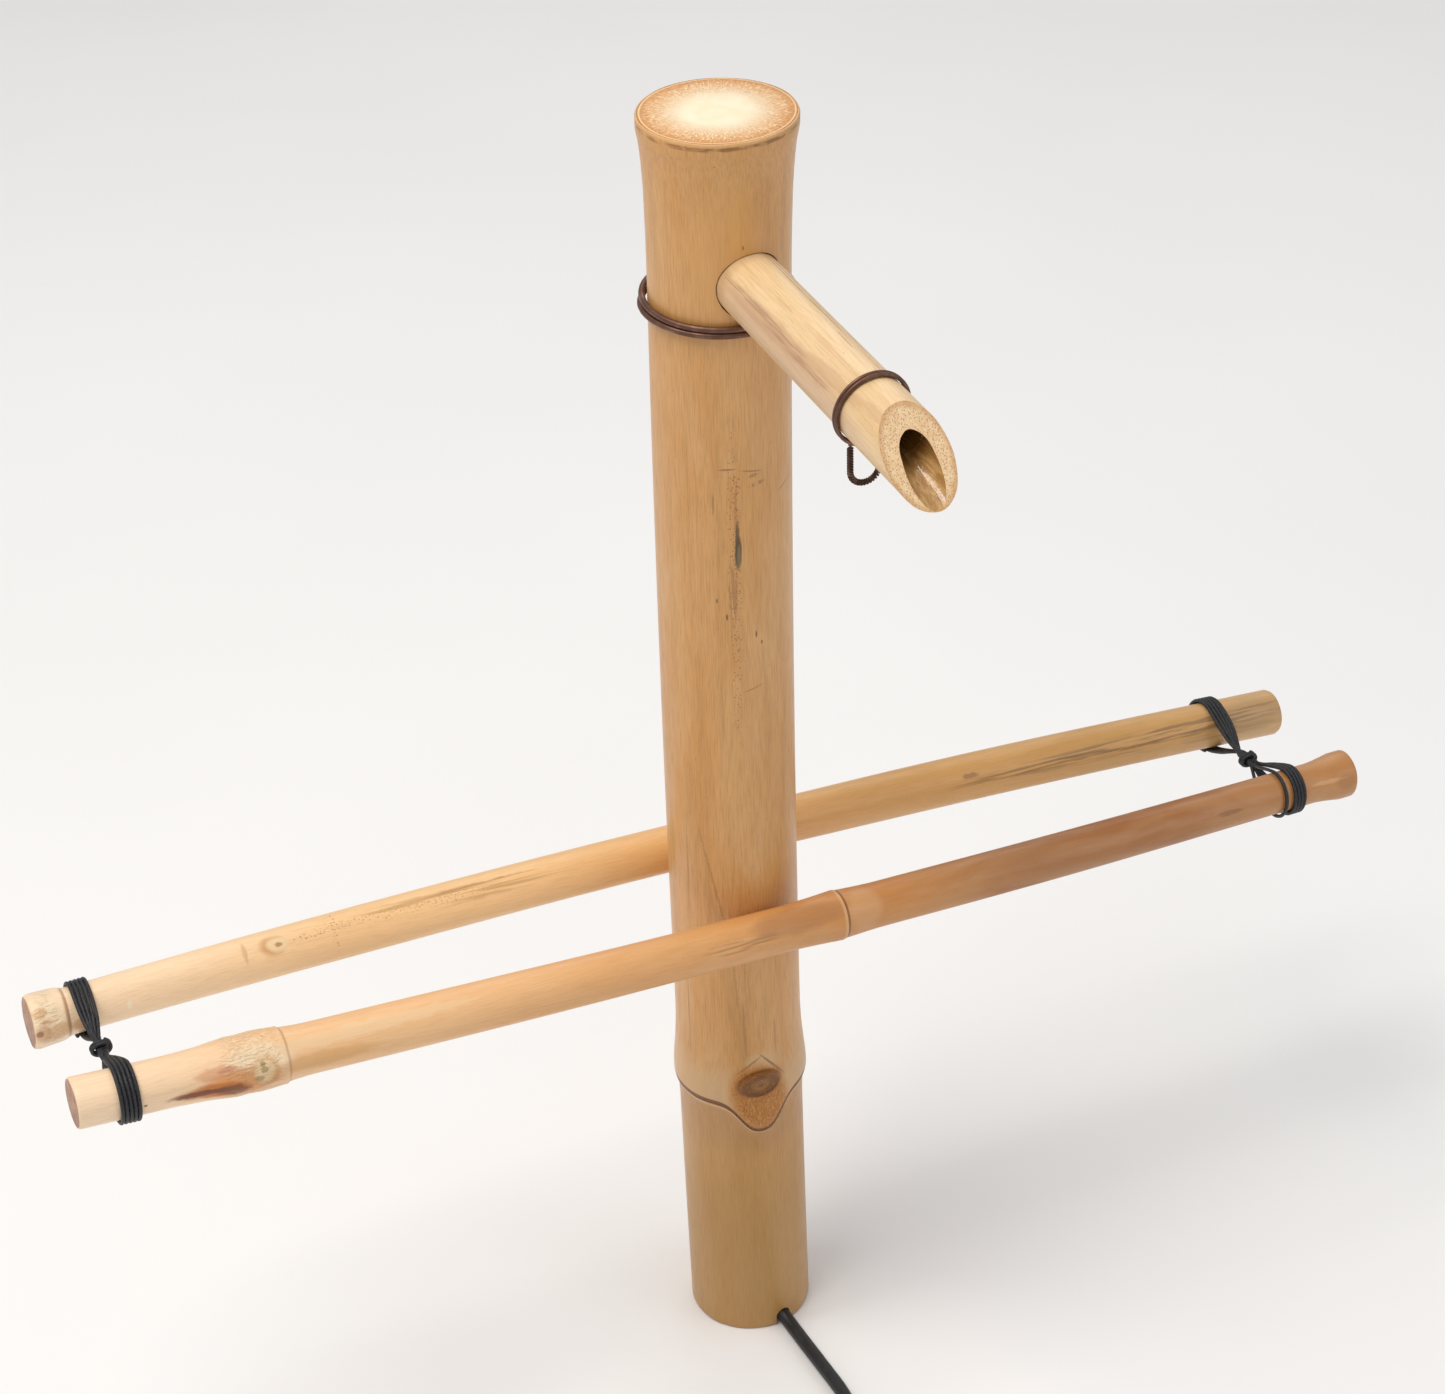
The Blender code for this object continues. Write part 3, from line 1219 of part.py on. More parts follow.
def make_plug(end, heading, rubber, brass):
    """The moulded plug lies flat at the end of the cord, with its blades outward."""
    frame = frame_at(end + heading * PIECE_GAP, heading, (0.0, 0.0, 1.0))
    tip = PLUG_NECK_LENGTH + PLUG_LENGTH
    half_width, half_height = PLUG_WIDTH / 2, PLUG_HEIGHT / 2
    low, high = (-half_width, -half_height, PLUG_NECK_LENGTH), (half_width, half_height, tip)
    plug = box("plug", low, high, rubber, PLUG_EDGE, 2, frame)
    root = PLUG_NECK_LENGTH + OVERRUN
    profile = [
        (0.0, root),
        (PLUG_NECK_RADIUS, root),
        (PLUG_NECK_RADIUS, PLUG_NECK_LENGTH),
        (PLUG_NECK_TIP, 0.0),
        (0.0, 0.0),
    ]
    boolean(plug, turned("plug_neck", profile, ROUND_SEGMENTS, None, frame), "UNION")
    gap = Vector((PIECE_GAP, PIECE_GAP, PIECE_GAP))
    for name, side in (("plug_blade_left", -1), ("plug_blade_right", 1)):
        middle = side * PIN_SPACING / 2
        low = Vector((middle - PIN_THICKNESS / 2, PIN_RISE - PIN_WIDTH / 2, tip - PIN_ROOT))
        high = Vector((middle + PIN_THICKNESS / 2, PIN_RISE + PIN_WIDTH / 2, tip + PIN_LENGTH))
        box(name, low, high, brass, frame=frame)
        boolean(plug, box(name + "_slot", low - gap, high + gap, frame=frame))
    ground = frame @ Matrix.Translation((0.0, -GROUND_DROP, 0.0))
    low, high = tip - PIN_ROOT, tip + GROUND_LENGTH
    rod("plug_ground_pin", GROUND_RADIUS, low, high, SMALL_SEGMENTS, brass, ground)
    hole = GROUND_RADIUS + PIECE_GAP
    boolean(plug, rod("ground_hole", hole, low - PIECE_GAP, high + OVERRUN, SMALL_SEGMENTS, None, ground))
    return plug


def build():
    clear_scene()
    bamboo = make_material("honey_bamboo", (0.60, 0.37, 0.16), 0.45)
    straw = make_material("straw_bamboo", (0.72, 0.52, 0.28), 0.45)
    cane = make_material("arm_bamboo", (0.66, 0.43, 0.20), 0.45)
    copper = make_material("dark_copper", (0.20, 0.09, 0.04), 0.40, 1.0)
    waxed = make_material("waxed_cord", (0.02, 0.02, 0.02), 0.60)
    black = make_material("black_rubber", (0.03, 0.03, 0.03), 0.55)
    plastic = make_material("black_plastic", (0.04, 0.04, 0.045), 0.40)
    grey = make_material("grey_plastic", (0.25, 0.26, 0.28), 0.45)
    clear = make_material("clear_vinyl", (0.75, 0.80, 0.80), 0.15)
    steel = make_material("steel_shaft", (0.60, 0.60, 0.62), 0.25, 1.0)
    brass = make_material("brass_blades", (0.80, 0.58, 0.25), 0.30, 1.0)

    make_post(bamboo)
    make_spout(straw)
    make_post_wire(copper)
    left_end, right_end = make_spout_wire(copper)
    make_eye(copper, left_end, right_end)
    make_arms(cane)
    for name in LASHING_PLACES:
        make_lashing(name, waxed)
    make_pump_body(plastic)
    make_volute(plastic)
    make_rotor(grey, steel, black)
    make_inlet_cover(plastic)
    make_dial(grey)
    make_nozzle(plastic)
    make_feet(black)
    make_gland(black)
    make_riser(clear)
    end, heading = make_cord(black)
    make_plug(end, heading, black, brass)
    for thing in bpy.data.objects:
        thing.location += Vector(POST_PLACE)


build()
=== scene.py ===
"""Looks of a bamboo water spout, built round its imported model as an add-on.

Every size is in metres in the model's own frame: +Z up, the viewer at -Y, the floor at Z 0.
"""

import math

import bpy
import numpy as np
from mathutils import Matrix, Vector


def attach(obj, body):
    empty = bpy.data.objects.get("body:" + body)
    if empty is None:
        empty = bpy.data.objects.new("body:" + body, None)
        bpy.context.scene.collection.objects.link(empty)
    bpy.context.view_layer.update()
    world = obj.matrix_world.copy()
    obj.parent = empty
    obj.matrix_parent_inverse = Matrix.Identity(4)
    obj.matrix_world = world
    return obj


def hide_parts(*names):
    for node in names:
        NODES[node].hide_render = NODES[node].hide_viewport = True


bl_info = {
    "name": "Bamboo Water Spout",
    "version": (1, 0, 0),
    "blender": (4, 5, 0),
    "location": "View3D > Sidebar > Spout",
    "description": "Dresses the packed bamboo water spout with its bamboo, wire, cord and pump finishes",
    "category": "Object",
}

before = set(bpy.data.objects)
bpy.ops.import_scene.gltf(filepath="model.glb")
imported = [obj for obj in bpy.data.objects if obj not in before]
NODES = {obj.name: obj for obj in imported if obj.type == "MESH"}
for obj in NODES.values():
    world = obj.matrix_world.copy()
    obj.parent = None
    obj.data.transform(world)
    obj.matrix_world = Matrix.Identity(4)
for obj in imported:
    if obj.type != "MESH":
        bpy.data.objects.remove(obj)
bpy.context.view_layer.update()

POST_BODY = "post_and_pump"
ARMS_BODY = "arms"
FOOT = Vector((0.0062, 0.0023, 0.0))
UP = Vector((0.0, 0.0, 1.0))

# The post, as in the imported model
POST_HEIGHT = 0.610
FOOT_RADIUS = 0.0281
NECK_RADIUS = 0.0284
POST_BOW = 0.0027
POST_WALL = 0.0050
TOP_RADIUS = 0.0315
NODE_BULGE = 0.0021
NODE_SWELL_HEIGHT = 0.038
NODE_SCAR_HEIGHT = 0.016
RING_HEIGHT = 0.142
RING_DIP = 0.0166
RING_DIP_ANGLE = math.radians(22)
RING_REACH = 0.036
BUD_ANGLE = math.radians(-72)
BUD_HEIGHT = 0.1520
BUD_TILT = math.radians(8)
BUD_DEPTH = 0.0030
BUD_SINK = 0.0001
RING_LEDGE = 0.0012
RING_LIP = 0.00040
RING_LIP_DROP = 0.0017
RING_LIP_HALF = 0.0006
FLARE_START = 0.005
FLARE_LENGTH = 0.060
FLUTE_DEPTH = 0.00009
FLUTE_SINK = 0.00012

# What is cut out of the post
CUT_OVERRUN = 0.002
TOP_WALL = 0.018
NODE_WALL_HALF = 0.0035
PUMP_ANGLE = math.radians(-57)
TUBE_OFFSET = -0.008
TUBE_HOLE_RADIUS = 0.0056
SPOUT_SEAT_DEPTH = 0.0324
NOTCH_HEIGHT = 0.0047
NOTCH_RADIUS = 0.0037
NOTCH_REACH = (0.0211, 0.0301)
NOTCH_SLOT_SIZE = (0.0090, 0.0074, 0.0067)
NOTCH_SLOT_PLACE = (0.0256, 0.0, 0.00135)

# Heights down the flare, the swell and the scar as shares, with shares of their bulge
FLARE_PLACES = (-0.10, 0.0, 0.10, 0.26, 0.50, 1.0)
FLARE_SHARES = (1.30, 1.0, 0.66, 0.36, 0.14, 0.0)
SWELL_PLACES = (0.0, 0.04, 0.15, 0.34, 0.62, 1.0)
SWELL_SHARES = (0.98, 1.0, 0.92, 0.60, 0.20, 0.0)
SCAR_PLACES = (0.0, 0.06, 0.22, 0.55, 1.0)
SCAR_SHARES = (0.70, 0.58, 0.34, 0.10, 0.0)

# Rows of faces near the ring, in millimetres from it
RING_ROWS = (
    (-16, -13, -10, -8, -6, -4.5, -3.4, -2.6, -2.0, -1.6, -1.3, -1.0, -0.7, -0.45, -0.2, 0.05)
    + (0.4, 0.9, 1.6, 2.6, 4, 6, 9, 13, 18, 24, 31)
)
TOP_ROWS = (10.0, 7.5, 5.0, 3.0, 1.8)
ROWS_START = 0.0040
ROWS_STOP = 0.011
ROW_STEP = 0.0060
ROW_CLEAR = 0.003

# The bud's rings as shares of its half width, with shares of its relief
BUD_PLACES = (0.0, 0.10, 0.26, 0.42, 0.52, 0.60, 0.68, 0.76, 0.84, 0.91, 0.96, 1.0)
BUD_SHARES = (0.58, 0.70, 0.62, 0.50, 0.70, 0.80, 0.70, 0.56, 0.74, 1.0, 0.90, 0.30)
BUD_RELIEF = 0.0012

# The spout
SPOUT_HEIGHT = 0.5509
SPOUT_AZIMUTH = math.radians(-63.7)
SPOUT_FALL = math.radians(5)
SPOUT_ROOT_RADIUS = 0.01355
SPOUT_TIP_RADIUS = 0.01385
SPOUT_ROOT = 0.0150
SPOUT_LENGTH = 0.1558
SPOUT_CUT_SLOPE = 1.18
SPOUT_SEAT_GAP = 0.0004
SPOUT_BORE_RADIUS = 0.0066
SPOUT_GROOVE_RADIUS = 0.0070
SPOUT_LIP_WALL = 0.0004
SPOUT_ROWS = 60
GROOVE_RUN = 0.026
GROOVE_LENGTH = 0.052

# The wires
POST_WIRE_STEPS = 44
POST_WIRE_START = math.radians(110)
POST_WIRE_UPPER = 0.5338
POST_WIRE_LOWER = 0.5299
POST_WIRE_SEAT = 0.0003
POST_WIRE_SLACK_DEGREES = 34
SPOUT_WIRE_PLACE = 0.1220
SPOUT_WIRE_STEPS = 96
SPOUT_WIRE_GAP = 0.0001
SPOUT_WIRE_SEAT = 0.00022
WIRE_END_DROP = 0.0018
EYE_DROP = 0.0330
EYE_RADIUS = 0.0056
EYE_SHIFT = 0.0018
EYE_COIL_RADIUS = 0.0013
EYE_COIL_SPACING = 1.12
EYE_COIL_STEPS = 12

# The arms: side of the post, height, length left, length right, radius left, radius right, bow, gap
ARM_ANGLE = math.radians(24.06)
ARM_TILT = math.radians(-3.0)
ARMS = {
    "front_arm": (-1, 0.2446, 0.3056, 0.2983, 0.0110, 0.0095, 0.0070, 0.0012),
    "rear_arm": (1, 0.2404, 0.3074, 0.2989, 0.0102, 0.0112, 0.0099, 0.0008),
}

# Swells of the arms: places along and how much the radius grows, both in millimetres
ARM_SWELLS = {
    "front_arm": (
        (
            (-268, -254, -244, -240, -236, -228, -222, -219.8, -218.9, -206),
            (0, 0.55, 1.4, 1.85, 1.6, 1.65, 1.4, 1.3, 0.6, 0),
        ),
        ((6, 20, 29, 31.4, 32.4, 34, 52), (0, 0.50, 1.05, 1.20, 0.80, 0.70, 0)),
        ((278, 286, 293, 299), (0, 0.9, 1.8, 1.7)),
    ),
    "rear_arm": (((-308, -304, -298, -293.5, -292.3, -287), (1.35, 1.75, 1.35, 0.9, 0.35, 0)),),
}
ARM_CLOSE_ROWS = {"front_arm": (-0.240, -0.219, 0.032), "rear_arm": (-0.293, -0.301)}
ARM_CLOSE_HALF = 0.007
ARM_CLOSE_STEP = 0.0007
ARM_ROW_STEP = 0.0045
ARM_WORN = {"front_arm": 0.0008, "rear_arm": 0.0016}

# The lashings
LASHING_PLACES = {"lashing_left": -0.2850, "lashing_right": 0.2645}
LASHING_SPREAD = {
    "lashing_left": ((-2, -1, 0, 1, 2), (-2, -1, 0, 1, 2)),
    "lashing_right": ((-1.6, -0.6, 0.4, 1.4, 2.2), (-3.4, -0.6, 0.4, 1.4, 2.3)),
}
LASHING_TURNS = 5
LASHING_SEAT = 0.00030
WRAP_STEPS = 14
WAY_STEPS = 9
BUNDLE_SHIFT = 0.0009
BUNDLE_RADIUS = 0.0010
PINCH_SHARE = 0.20
WAIST_STEPS = 14
WAIST_START = math.radians(60)
WAIST_ALONG = 0.0040
WAIST_UP = 0.0030

# The power cord's route on the floor: X, Y from the foot's middle, and the height over its rest
CORD_ROUTE = (
    (0.0153, -0.0236, 0.0014),
    (0.0178, -0.0276, 0.0004),
    (0.0231, -0.0378, 0.0000),
    (0.0323, -0.0558, 0.0000),
    (0.0415, -0.0746, 0.0000),
    (0.0468, -0.0920, 0.0000),
    (0.0496, -0.1130, 0.0000),
)
CORD_WIDTH = 0.0065
CORD_REST = 0.00335
COIL_LOOP_POINTS = 24
GLAND_PLACE = 0.0128
GLAND_HEIGHT = 0.0054
COIL_CENTRE = (0.0080, -0.1600)
COIL_RADIUS = 0.0498
COIL_PITCH = 0.0071
COIL_RISE = 0.0070
COIL_LAYER_TURNS = 3.25
COIL_START = math.radians(15)
COIL_TAIL = 0.0200

# The plug and the coil's tie
PLUG_SIZE = (0.0246, 0.0196, 0.0338)
PLUG_MIDDLE = 0.037
PLUG_ROUNDING = 0.0035
PLUG_GAP = 0.0003
PLUG_RIBS = 6
PLUG_RIB_START = 0.0014
PLUG_RIB_PITCH = 0.0031
PLUG_RIB_DEPTH = 0.0006
PLUG_NECK_RADIUS = 0.0042
PLUG_NECK_GROWTH = 0.0020
PLUG_NECK_LENGTH = 0.020
TIE_WIDTH = 0.010
TIE_HEIGHT = 0.0144
TIE_MIDDLE = 0.00725
TIE_INSIDE = 0.006
TIE_OUTSIDE = 0.0050
TIE_TAPE = 0.0009
TIE_ROUNDING = 0.0012

# The camera, as fitted to the photograph
CAMERA_PLACE = Vector((0.0, -1.1529, 1.1209)) + FOOT
CAMERA_YAW = math.radians(-0.2364)
CAMERA_PITCH = math.radians(34.0103)
CAMERA_ROLL = math.radians(-1.7547)
CAMERA_LENS = 81.94
SENSOR_MILLIMETRES = 36.0

# The studio floor
FLOOR_SIZE = 14.0
FLOOR_DROP = 0.0002

# What the lamps aim at, and for each lamp its place, width, power and colour
LAMP_AIM = Vector((0.0, 0.0, 0.30))
LIGHTS = {
    "key_light": ((-0.90, -0.50, 2.60), 1.5, 42.0, "#FFFAF4"),
    "side_light": ((1.70, -0.70, 1.10), 1.4, 5.0, "#F4F6FF"),
    "back_light": ((0.20, 1.60, 1.70), 1.4, 5.0, "#FFFFFF"),
}
SKY_STRENGTH = 0.45


def linear(colour):
    """An sRGB hex value as linear RGB."""
    parts = [int(colour[i : i + 2], 16) / 255 for i in (1, 3, 5)]
    return tuple(c / 12.92 if c <= 0.04045 else ((c + 0.055) / 1.055) ** 2.4 for c in parts)


def colour_property(name, description, colour):
    return bpy.props.FloatVectorProperty(
        name=name, description=description, subtype="COLOR", size=3, min=0.0, max=1.0, default=linear(colour)
    )


def length_property(name, description, length):
    return bpy.props.FloatProperty(
        name=name, description=description, unit="LENGTH", precision=4, min=0.0002, max=0.05, default=length
    )


def faces_property(name, description, count):
    return bpy.props.IntProperty(name=name, description=description, min=12, max=400, default=count)


class SPOUT_PG_finish(bpy.types.PropertyGroup):
    """Colours of the bamboo, the wire and the cords."""

    post_skin: colour_property("Post skin", "Main colour of the post's skin", "#D49C5A")
    post_fibre: colour_property("Post fibres", "Darker long fibres of the post's skin", "#A87338")
    spout_skin: colour_property("Spout skin", "Main colour of the spout's skin", "#EAC896")
    spout_fibre: colour_property("Spout fibres", "Darker long fibres of the spout's skin", "#C0925F")
    wire: colour_property("Wire", "Colour of the weathered copper wire", "#664638")
    eye: colour_property("Eye", "Colour of the darker wire of the hanging eye", "#443025")
    lashing: colour_property("Lashing", "Colour of the waxed lashing cord", "#1B1C20")
    cord: colour_property("Power cord", "Colour of the cord's jacket", "#141416")


class SPOUT_PG_sizes(bpy.types.PropertyGroup):
    """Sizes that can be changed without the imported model."""

    bud_width: length_property("Bud width", "Width of the bud eye across the post", 0.0196)
    bud_tall: length_property("Bud height", "Height of the bud eye", 0.0130)
    post_wire: length_property("Post wire", "Thickness of the wire round the post", 0.0026)
    spout_wire: length_property("Spout wire", "Thickness of the wire round the spout", 0.0016)
    eye_wire: length_property("Eye wire", "Thickness of the wire that the hanging eye is wound from", 0.0010)
    lashing_cord: length_property("Lashing cord", "Thickness of the lashing cord", 0.0017)
    lashing_pitch: length_property("Lashing pitch", "Distance between a lashing's strands", 0.00175)
    post_faces: faces_property("Post faces", "Faces round the post", 160)
    spout_faces: faces_property("Spout faces", "Faces round the spout", 112)
    arm_faces: faces_property("Arm faces", "Faces round an arm", 64)


# Modelling


def alone(thing):
    """Makes the object the only selected one, and the active one."""
    if bpy.context.mode != "OBJECT":
        bpy.ops.object.mode_set(mode="OBJECT")
    bpy.ops.object.select_all(action="DESELECT")
    thing.select_set(True)
    bpy.context.view_layer.objects.active = thing


def edit(thing):
    alone(thing)
    bpy.ops.object.mode_set(mode="EDIT")
    bpy.ops.mesh.select_mode(type="VERT")
    bpy.ops.mesh.select_all(action="SELECT")


def finish_mesh(thing, angle=32):
    """Merges doubles, faces outward and smooths by angle."""
    edit(thing)
    bpy.ops.mesh.remove_doubles(threshold=0.000005)
    bpy.ops.mesh.normals_make_consistent(inside=False)
    bpy.ops.object.mode_set(mode="OBJECT")
    bpy.ops.object.shade_smooth_by_angle(angle=math.radians(angle))


def settle(thing):
    """Moves the object's place into its mesh."""
    alone(thing)
    bpy.ops.object.transform_apply(location=True, rotation=True, scale=True)


def put_in(thing, frame):
    """Places a piece that was modelled round its own axis, and settles it into its mesh."""
    thing.matrix_world = frame
    settle(thing)


def new_box(name, size, place):
    bpy.ops.object.select_all(action="DESELECT")
    bpy.ops.mesh.primitive_cube_add(size=1.0, location=place)
    thing = bpy.context.object
    thing.name = name
    thing.scale = size
    settle(thing)
    return thing


def new_rod(name, radius, low, high, segments, frame=None):
    bpy.ops.object.select_all(action="DESELECT")
    bpy.ops.mesh.primitive_cylinder_add(
        vertices=segments, radius=radius, depth=high - low, location=(0, 0, (low + high) / 2)
    )
    thing = bpy.context.object
    thing.name = name
    settle(thing)
    if frame is not None:
        put_in(thing, frame)
    return thing


def turn_profile(name, profile, segments):
    """Draws a profile of (radius, height) point by point and spins it round Z."""
    bpy.ops.object.select_all(action="DESELECT")
    bpy.ops.mesh.primitive_plane_add(size=0.001)
    thing = bpy.context.object
    thing.name = name
    edit(thing)
    bpy.ops.mesh.merge(type="CENTER")
    here = Vector((profile[0][0], 0.0, profile[0][1]))
    bpy.ops.transform.translate(value=here)
    for radius, height in profile[1:]:
        there = Vector((radius, 0.0, height))
        bpy.ops.mesh.extrude_region_move(TRANSFORM_OT_translate={"value": there - here})
        here = there
    bpy.ops.mesh.select_all(action="SELECT")
    bpy.ops.mesh.spin(steps=segments, angle=2 * math.pi, center=(0, 0, 0), axis=(0, 0, 1))
    bpy.ops.mesh.select_all(action="SELECT")
    bpy.ops.mesh.remove_doubles(threshold=0.000005)
    bpy.ops.mesh.normals_make_consistent(inside=False)
    bpy.ops.object.mode_set(mode="OBJECT")
    return thing


def round_off(thing, width, segments, angle=30):
    alone(thing)
    modifier = thing.modifiers.new("Round", "BEVEL")
    modifier.width = width
    modifier.segments = segments
    modifier.limit_method = "ANGLE"
    modifier.angle_limit = math.radians(angle)
    bpy.ops.object.modifier_apply(modifier=modifier.name)


def combine(thing, other, operation="DIFFERENCE"):
    """Cuts a piece with another, or joins them, and removes the other."""
    alone(thing)
    modifier = thing.modifiers.new("Combine", "BOOLEAN")
    modifier.operation = operation
    modifier.solver = "EXACT"
    modifier.object = other
    bpy.ops.object.modifier_apply(modifier=modifier.name)
    bpy.data.objects.remove(other)


def draw_curve(name, points, thickness, sides=3, steps=3):
    """A smooth round curve through the points."""
    bpy.ops.object.select_all(action="DESELECT")
    bpy.ops.curve.primitive_bezier_curve_add(location=(0, 0, 0))
    thing = bpy.context.object
    thing.name = name
    spline = thing.data.splines[0]
    spline.bezier_points.add(len(points) - 2)
    for at, point in zip(spline.bezier_points, points):
        at.co = point
        at.handle_left_type = "AUTO"
        at.handle_right_type = "AUTO"
    thing.data.dimensions = "3D"
    thing.data.resolution_u = steps
    thing.data.render_resolution_u = 0
    thing.data.bevel_depth = thickness / 2
    thing.data.bevel_resolution = sides
    thing.data.use_fill_caps = True
    return thing


def to_mesh(thing):
    alone(thing)
    bpy.ops.object.convert(target="MESH")
    finish_mesh(bpy.context.object, 50)
    return bpy.context.object


def points_of(thing):
    co = np.empty(len(thing.data.vertices) * 3)
    thing.data.vertices.foreach_get("co", co)
    return co.reshape(-1, 3)


def put_points(thing, co):
    thing.data.vertices.foreach_set("co", co.reshape(-1))
    thing.data.update()


def mark_points(thing, name, values):
    """Stores one number a point, for the material to read."""
    layer = thing.data.attributes.new(name, "FLOAT", "POINT")
    layer.data.foreach_set("value", np.asarray(values, np.float32))


def hand_in(thing, body, slot, *replaced):
    """Names what a finished piece rides on and the nodes it stands for. The slot is not used."""
    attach(thing, body)
    if replaced:
        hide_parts(*replaced)


# Places and curves


def smooth_step(value, low, high):
    share = np.clip((value - low) / (high - low), 0.0, 1.0)
    return share * share * (3 - 2 * share)


def curve_through(value, places, heights):
    """A smooth curve through points that never swings past them, read at many values at once."""
    places, heights = np.asarray(places, float), np.asarray(heights, float)
    rises = np.diff(heights) / np.diff(places)
    before, after = rises[:-1], rises[1:]
    both = before * after
    inner = np.where(both > 0, 2 * both / np.where(both > 0, before + after, 1.0), 0.0)
    slopes = np.concatenate([[0.0], inner, [0.0]])
    value = np.clip(value, places[0], places[-1])
    at = np.clip(np.searchsorted(places, value) - 1, 0, len(places) - 2)
    width = places[at + 1] - places[at]
    t = (value - places[at]) / width
    rise = (2 * t**3 - 3 * t**2 + 1) * heights[at] + (3 * t**2 - 2 * t**3) * heights[at + 1]
    return rise + width * ((t**3 - 2 * t**2 + t) * slopes[at] + (t**3 - t**2) * slopes[at + 1])


def smooth_route(points, step):
    """Points a step apart along a smooth curve through the given points."""
    points = [Vector(point) for point in points]
    chain = [points[0] * 2 - points[1], *points, points[-1] * 2 - points[-2]]
    found = []
    for a, b, c, d in zip(chain, chain[1:], chain[2:], chain[3:]):
        count = max(1, round((c - b).length / step))
        square, cube = 2 * a - 5 * b + 4 * c - d, 3 * b - a - 3 * c + d
        for i in range(count):
            t = i / count
            found.append((2 * b + (c - a) * t + square * t**2 + cube * t**3) / 2)
    found.append(points[-1])
    return found


def frame_at(place, z_axis, y_axis):
    """A frame at a place with its Z along z_axis and its Y near y_axis."""
    z = Vector(z_axis).normalized()
    x = Vector(y_axis).cross(z).normalized()
    y = z.cross(x)
    return Matrix.Translation(place) @ Matrix((x, y, z)).transposed().to_4x4()


def compass(angle):
    return Vector((math.cos(angle), math.sin(angle), 0.0))


def culm_bow(height):
    """How far the post's middle lies to the left, because the culm bows a little."""
    return 4 * POST_BOW * (height / POST_HEIGHT) * (1 - height / POST_HEIGHT)


def post_middle(height):
    return Vector((-culm_bow(height), 0.0, height)) + FOOT


def plain_radius(height):
    return FOOT_RADIUS + (NECK_RADIUS - FOOT_RADIUS) * height / POST_HEIGHT


def on_post(x, height):
    """A point on the front of the post's plain skin, x from the foot's middle, and the way across there."""
    radius = plain_radius(height)
    across = x + culm_bow(height)
    out = Vector((across, -math.sqrt(radius**2 - across**2), 0.0)) / radius
    return post_middle(height) + out * radius, Vector((-out.y, out.x, 0.0))


def ring_dip(azimuth):
    turn = (azimuth - BUD_ANGLE + np.pi) % (2 * np.pi) - np.pi
    return RING_DIP * np.exp(-(np.abs(turn / RING_DIP_ANGLE) ** 2.6))


def dip_share(height):
    return np.maximum(0.0, 1 - np.abs(height - RING_HEIGHT) / RING_REACH)


def spout_radius(place):
    return SPOUT_ROOT_RADIUS + (SPOUT_TIP_RADIUS - SPOUT_ROOT_RADIUS) * place / SPOUT_LENGTH


def spout_frame():
    out = compass(SPOUT_AZIMUTH) * math.cos(SPOUT_FALL) - UP * math.sin(SPOUT_FALL)
    return frame_at(post_middle(SPOUT_HEIGHT), out, UP)


def arm_frame(name):
    side, height, _, _, left_radius, right_radius, _, gap = ARMS[name]
    out = Vector((-math.sin(ARM_ANGLE), math.cos(ARM_ANGLE), 0.0)) * side
    along = compass(ARM_ANGLE) * math.cos(ARM_TILT) + UP * math.sin(ARM_TILT)
    reach = plain_radius(height) + gap + (left_radius + right_radius) / 2
    return frame_at(post_middle(height) + out * reach, along, out)


def arm_axis(name):
    return arm_frame(name).to_3x3().col[2]


def arm_radius(name, place):
    _, _, left, right, left_radius, right_radius, _, _ = ARMS[name]
    return left_radius + (right_radius - left_radius) * (place + left) / (left + right)


def arm_swell(name, place):
    """How much an arm swells at its nodes."""
    place = np.asarray(place, float) * 1000
    found = np.zeros_like(place)
    for places, heights in ARM_SWELLS[name]:
        inside = (place >= places[0]) & (place <= places[-1] + 1)
        found = found + np.where(inside, curve_through(place, places, heights), 0.0) / 1000
    return found


def arm_bow(name, place):
    return ARMS[name][6] * (place / ARMS[name][2]) ** 2


def arm_middle(name, place):
    return arm_frame(name) @ Vector((0.0, -arm_bow(name, place), place))


def on_arm(name, place, degrees):
    """A point on an arm's skin, the way along and the way across. Degrees run from its top to its front."""
    axis = arm_axis(name)
    up = (UP - axis * UP.dot(axis)).normalized()
    front = up.cross(axis).normalized()
    if front.y > 0:
        front.negate()
    turn = math.radians(degrees)
    out = up * math.cos(turn) + front * math.sin(turn)
    radius = float(arm_radius(name, place) + arm_swell(name, place))
    return arm_middle(name, place) + out * radius, axis, out.cross(axis).normalized()


# Materials


def new_material(name, settings):
    """A material with its Principled shader, whose constant values are set on it."""
    material = bpy.data.materials.new(name)
    material.use_nodes = True
    shader = material.node_tree.nodes["Principled BSDF"]
    for socket, value in settings.items():
        shader.inputs[socket].default_value = value
    return material, material.node_tree, shader


def set_materials(thing, *materials):
    thing.data.materials.clear()
    for material in materials:
        thing.data.materials.append(material)


def node(tree, kind, inputs, output=0, **settings):
    """Adds a node with its settings and links, and returns an output.

    An input takes a socket, a value or a hex colour.
    """
    made = tree.nodes.new("ShaderNode" + kind)
    for name, value in settings.items():
        setattr(made, name, value)
    for key, value in inputs.items():
        socket = made.inputs[key]
        if isinstance(value, bpy.types.NodeSocket):
            tree.links.new(value, socket)
            continue
        if isinstance(value, str):
            value = linear(value)
        if socket.type == "RGBA":
            value = (*tuple(value)[:3], 1.0)
        socket.default_value = value
    return made.outputs[output]


def connect(tree, shader, **outputs):
    """Links pattern outputs to the shader. An underscore stands for a space in a socket's name."""
    for name, output in outputs.items():
        tree.links.new(output, shader.inputs[name.replace("_", " ")])


